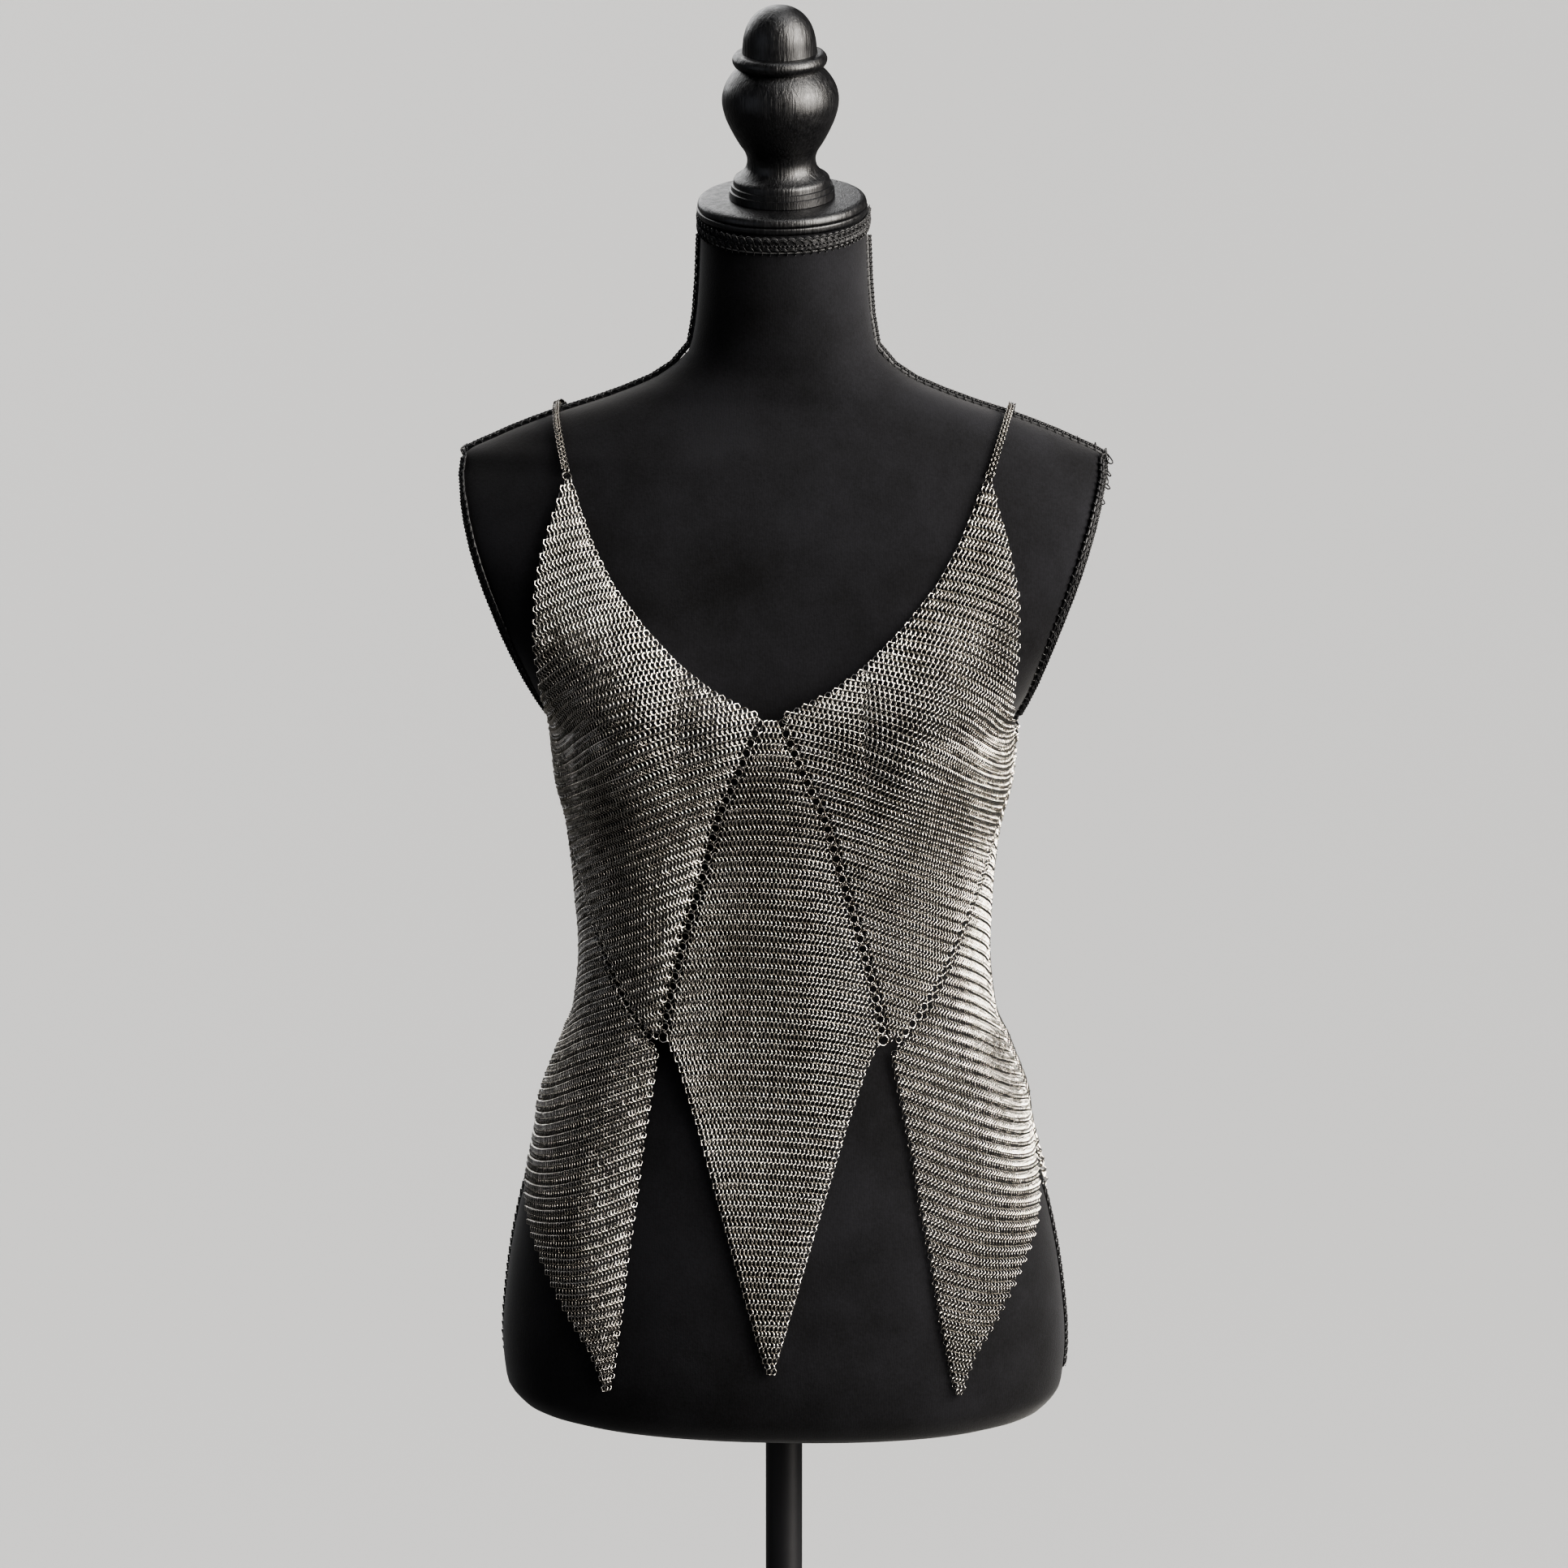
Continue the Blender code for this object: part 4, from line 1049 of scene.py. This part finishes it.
# Each panel's name, sides of its rings, and its cut: width, length and area in metres.
PANELS = {
    (False, "centre"): ("front_centre", 5, (0.120, 0.374), 0.0243),
    (True, "centre"): ("back_centre", 4, (0.120, 0.374), 0.0243),
    (False, "cup"): ("cup", 6, (0.183, 0.325), 0.0259),
    (True, "cup"): ("back_upper", 4, (0.180, 0.230), 0.0209),
    (False, "side"): ("side_front", 5, (0.131, 0.369), 0.0212),
    (True, "side"): ("side_back", 4, (0.131, 0.369), 0.0212),
}
# A ring of few sides is drawn this much wider, to cover as much as a round one.
OUTWARD = {4: 1.08, 5: 1.05, 6: 1.03}
WIRE_SIDES = 3
# Rings grow taller where the mail is pulled, within these shares, and are lower on the hip points.
TALLER = (0.9, 1.35)
SIDE_RINGS = 0.9
for (back, kind), (name, sides, cut, area) in PANELS.items():
    inner, outer = panel_edges(back)[kind]
    scale = RING_SCALE["back" if back else "front"]
    girths, heights, hand, fall, stretch = woven(inner, outer, kind, scale).T
    open_way = np.cos(math.radians(RING_LEAN)) * stretch
    lean = hand * np.degrees(np.arccos(np.minimum(open_way, math.cos(math.radians(FLATTEST_LEAN)))))
    hands = (("", 1),) if kind == "centre" else (("_left", 1), ("_right", -1))
    for suffix, side in hands:
        hung = swung(girths, heights, side) if name == "side_front" else girths
        points, along, up = ring_frames(hung, heights, back, fall, side)
        taller = np.clip(np.linalg.norm(up, axis=1), *TALLER) * (SIDE_RINGS if kind == "side" else 1)
        size = np.stack([np.ones(len(points)), taller, np.ones(len(points))], -1)
        part = ringed(
            f"rings_{name}{suffix}", (points, along, up, lean, size), side, (sides, WIRE_SIDES),
            RING["radius"] * scale * OUTWARD[sides], RING_WIRE[kind] * scale, steel,
        )
        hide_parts(f"mail_{name}{suffix}")

# ------------------------------------------------------------
# Link rows. A column of larger rings lies flat between two panels, and pairs of small rings tie
# it to both edges, which leaves the dark square gaps that mark every seam.
LINK_PITCH = 5.9
LINK_RADIUS = 2.4
LINK_WIRE = 0.3
LINK_SIDES = (8, 3)
LINK_ENDS = 1.5
LINK_READINGS = 200
TIE = {"size": 0.62, "apart": 1.9, "lean": 62}
# The size of a row's lowest ring, where a point's two edges meet and elsewhere.
CORNER_RING, END_RING = 1.3, 0.8
# The side's links hang this little in front of the seam of front and back.
BEFORE_SIDE = 0.01


def link_rings(line, back, side, corner):
    """Rings along a seam line of girths and heights: places, directions, leans and sizes."""
    heights = np.linspace(line[0, 1], line[-1, 1], LINK_READINGS)
    girths = np.interp(heights, line[:, 1], line[:, 0])
    points = on_mail(girths, heights, back, side)
    length = distances(points)
    count = int((length[-1] - 2 * LINK_ENDS) / LINK_PITCH)
    at = np.linspace(LINK_ENDS, length[-1] - LINK_ENDS, 2 * count + 1)
    girths, heights = (np.interp(at, length, values) for values in (girths, heights))
    centre, along, up = ring_frames(girths, heights, back, 0, side)
    outward = unit(np.cross(along, up))
    upward = unit(np.gradient(read_at(at, length, points), axis=0))
    across = unit(np.cross(upward, outward))
    flat_size = np.ones((count + 1, 3))
    flat_size[0] *= corner
    rows = [(centre[0::2], across[0::2], upward[0::2], np.zeros(count + 1), flat_size)]
    for way in (-1, 1):
        shift = way * TIE["apart"] * across[1::2] / 2
        rows.append(
            (centre[1::2] + shift, across[1::2], upward[1::2], np.full(count, way * TIE["lean"]),
             np.full((count, 3), TIE["size"]))
        )
    return [np.concatenate(parts) for parts in zip(*rows)]


seam_lines = {
    "front": (shifted(CENTRE_SEAM, 0), False, CORNER_RING),
    "cup": (shifted(CUP_SEAM, 0), False, END_RING),
    "side": (side_edge(False, BEFORE_SIDE), False, END_RING),
    "back": (shifted(CENTRE_SEAM, 0), True, CORNER_RING),
    "back_side": (from_side(CUP_SEAM, True), True, END_RING),
}
for seam, (line, back, corner) in seam_lines.items():
    for hand, side in HANDS:
        rings = link_rings(line, back, side, corner)
        part = ringed(f"links_{seam}_{hand}", rings, side, LINK_SIDES, LINK_RADIUS, LINK_WIRE, steel)
        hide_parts(f"link_row_{seam}_{hand}")

# ------------------------------------------------------------
# Straps. Fine double chain of small steel rings in pairs, closed to the cup's peak by a larger
# jump ring, laid over the shoulder and closed to the back panel in the same way.
STRAP_FRONT = {"height": 555.5, "width": 119.5, "points": 9}
STRAP_BACK = {"height": 467, "width": 103.5, "points": 20}
# How far from the middle the strap crosses the shoulder, how finely the height there is read, and
# how near the braid there the strap rises over it.
STRAP_RIDGE = 128.5
RIDGE_STEP = 0.2
BRAID_CROSSING = 14
STRAP_RADIUS = 2.2
STRAP_GAP = 0.8
STRAP_RINGS = {"pitch": 1.75, "radius": 1.9, "wire": 0.29, "apart": 0.7, "lean": 52}
JUMP_RINGS = {"size": 1.5, "beyond": (0.6, 4.4), "leans": (-32.0, 38.0)}
# How many times the path's corners are eased.
EASINGS = 2

# Steel chain, its colour painted darker than the mail's: painted shade for the shade its small rings cast
# on each other. It is smooth, so it shows sharp glints along its rings.
chain_steel_painted_shade, tree, shader = finish(
    "steel_chain_painted_shade", {"Metallic": 1.0, "Base Color": linear("#77746f"), "Roughness": 0.17}
)
place = put(tree, "ShaderNodeTexCoord").outputs["Object"]
scuffs = put(tree, "ShaderNodeTexNoise", {"Vector": place, "Scale": 800.0, "Detail": 2.0})
put(tree, "ShaderNodeBump", {"Height": scuffs, "Strength": 0.15, "Distance": 0.0001}, (shader, "Normal"))

# The strap's path climbs from each panel's peak to the ridge of the shoulder and bends over it.
levels_above = np.arange(NECK_TOP, STRAP_FRONT["height"], -RIDGE_STEP)
ridge = np.interp(STRAP_RIDGE, column("half_width", levels_above), levels_above)
stretches = []
for end, back in ((STRAP_FRONT, False), (STRAP_BACK, True)):
    climb = np.sin(np.linspace(0, math.pi / 2, end["points"]))
    heights = end["height"] + (ridge - end["height"]) * climb
    widths = end["width"] + (STRAP_RIDGE - end["width"]) * climb
    share = np.minimum(widths / column("half_width", heights), 1)
    angles = np.degrees(np.arcsin(share ** (1 / WIDTH_POWER)))
    stretches.append(surface(180 - angles if back else angles, heights, False))
strap_points, strap_out = (np.concatenate([up, down[::-1]]) for up, down in zip(*stretches))
braid_top = SIDE_BRAID["lift"] + BRAID_THICKNESS + CLEARANCE
over_braid = braid_top * np.exp(-((strap_points[:, 1:2] / BRAID_CROSSING) ** 2))
strap_points = strap_points + strap_out * (STRAP_RADIUS + STRAP_GAP + over_braid)
for _ in range(EASINGS):
    strap_points[1:-1] = (strap_points[:-2] + 2 * strap_points[1:-1] + strap_points[2:]) / 4
chain, chain_out, *_ = resampled(strap_points, strap_out, STRAP_RINGS["pitch"], False)
chain_up = unit(np.gradient(chain, axis=0))
chain_across = unit(np.cross(chain_up, chain_out))
turns = STRAP_RINGS["lean"] * np.where(np.arange(len(chain)) % 2, 1, -1)
alike = np.ones((len(chain), 3))
sets = [
    (chain + chain_across * side * STRAP_RINGS["apart"], chain_across, chain_up, side * turns, alike)
    for side in (-1, 1)
]
ends = (0, -1)
for beyond, lean in zip(JUMP_RINGS["beyond"], JUMP_RINGS["leans"]):
    past = chain[ends, :] + chain_up[ends, :] * np.array([[-beyond], [beyond]])
    size = np.full((2, 3), JUMP_RINGS["size"])
    sets.append((past, chain_across[ends, :], chain_up[ends, :], np.full(2, lean), size))
rings = [np.concatenate(parts) for parts in zip(*sets)]
for hand, side in HANDS:
    part = ringed(
        f"chain_strap_{hand}", rings, side, LINK_SIDES, STRAP_RINGS["radius"], STRAP_RINGS["wire"],
        chain_steel_painted_shade,
    )
    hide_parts(f"strap_{hand}")

# ------------------------------------------------------------
# Studio. A plain pale floor in a dim room, a wide soft key light from the wearer's left with a
# softer one above it and a weak one behind, and two near soft boxes. Shiny surfaces see the floor
# darker than it is, as they do where dark cards stand just out of view.
LOOK_AT = Vector((0, 0, 0.93))
CAMERA = {"azimuth": 4, "elevation": 9, "distance": 3.2, "lens": 126.9}
# In metres. The floor lies just under the base, so that the two don't share a plane.
FLOOR_REACH = 300
FLOOR_LEVEL = -0.0002
ROOM = {"tint": "#dfe1e4", "strength": 0.05}
# Near soft boxes: place, width in metres, watts, tint.
BOXES = (
    ("box_high", (1.05, -0.6, 1.4), 0.9, 26, "#fffaf3"),
    ("fill", (-2.4, -1.8, 1.5), 2.0, 14, "#eef3ff"),
)
# Far soft lights: azimuth from the front towards the wearer's left, elevation, spread, strength and
# tint.
FAR_LIGHTS = (
    ("key", 62, 24, 46, 8.2, "#fffaf3"),
    ("top", 60, 65, 60, 2.4, "#ffffff"),
    ("behind", 214, 36, 60, 2.4, "#ffffff"),
)

# Matt emulsion on a smooth board, which shows no pattern and only soft shadows.
paint, tree, shader = finish("matt_studio_floor", {"Roughness": 0.85})
ray = put(tree, "ShaderNodeLightPath").outputs["Is Glossy Ray"]
seen = put(tree, "ShaderNodeMix", {0: ray, 6: linear("#8e8e8e"), 7: linear("#3a3a3a")}, data_type="RGBA")
tree.links.new(seen.outputs[2], shader.inputs["Base Color"])
mesh = bpy.data.meshes.new("studio_floor")
reach = FLOOR_REACH
corners = ((-reach, -reach), (reach, -reach), (reach, reach), (-reach, reach))
mesh.from_pydata([(*corner, FLOOR_LEVEL) for corner in corners], [], [(0, 1, 2, 3)])
new_part("studio_floor", mesh, paint)

world = bpy.data.worlds.new("pale_room")
bpy.context.scene.world = world
world.use_nodes = True
bpy.context.scene.view_settings.look = "AgX - High Contrast"
room = world.node_tree.nodes["Background"]
room.inputs["Color"].default_value = linear(ROOM["tint"])
room.inputs["Strength"].default_value = ROOM["strength"]


def direction(azimuth, elevation):
    """The unit vector this many degrees round from the front and up."""
    azimuth, elevation = math.radians(azimuth), math.radians(elevation)
    level = math.cos(elevation)
    return Vector((math.sin(azimuth) * level, -math.cos(azimuth) * level, math.sin(elevation)))


def aimed(name, data, place, towards):
    made = bpy.data.objects.new(name, data)
    made.location = place
    made.rotation_mode = "QUATERNION"
    made.rotation_quaternion = towards.to_track_quat("-Z", "Y")
    bpy.context.scene.collection.objects.link(made)
    return made


for name, spot, wide, watts, tint in BOXES:
    lamp = bpy.data.lights.new(name, "AREA")
    lamp.size = wide
    lamp.energy = watts
    lamp.color = linear(tint)[:3]
    aimed(name, lamp, spot, LOOK_AT - Vector(spot))
for name, azimuth, elevation, spread, strength, tint in FAR_LIGHTS:
    lamp = bpy.data.lights.new(name, "SUN")
    lamp.angle = math.radians(spread)
    lamp.energy = strength
    lamp.color = linear(tint)[:3]
    aimed(name, lamp, (0, 0, 3), -direction(azimuth, elevation))

towards = direction(CAMERA["azimuth"], CAMERA["elevation"])
lens = bpy.data.cameras.new("camera")
lens.lens = CAMERA["lens"]
lens.sensor_width = 36
bpy.context.scene.camera = aimed("camera", lens, LOOK_AT + towards * CAMERA["distance"], -towards)
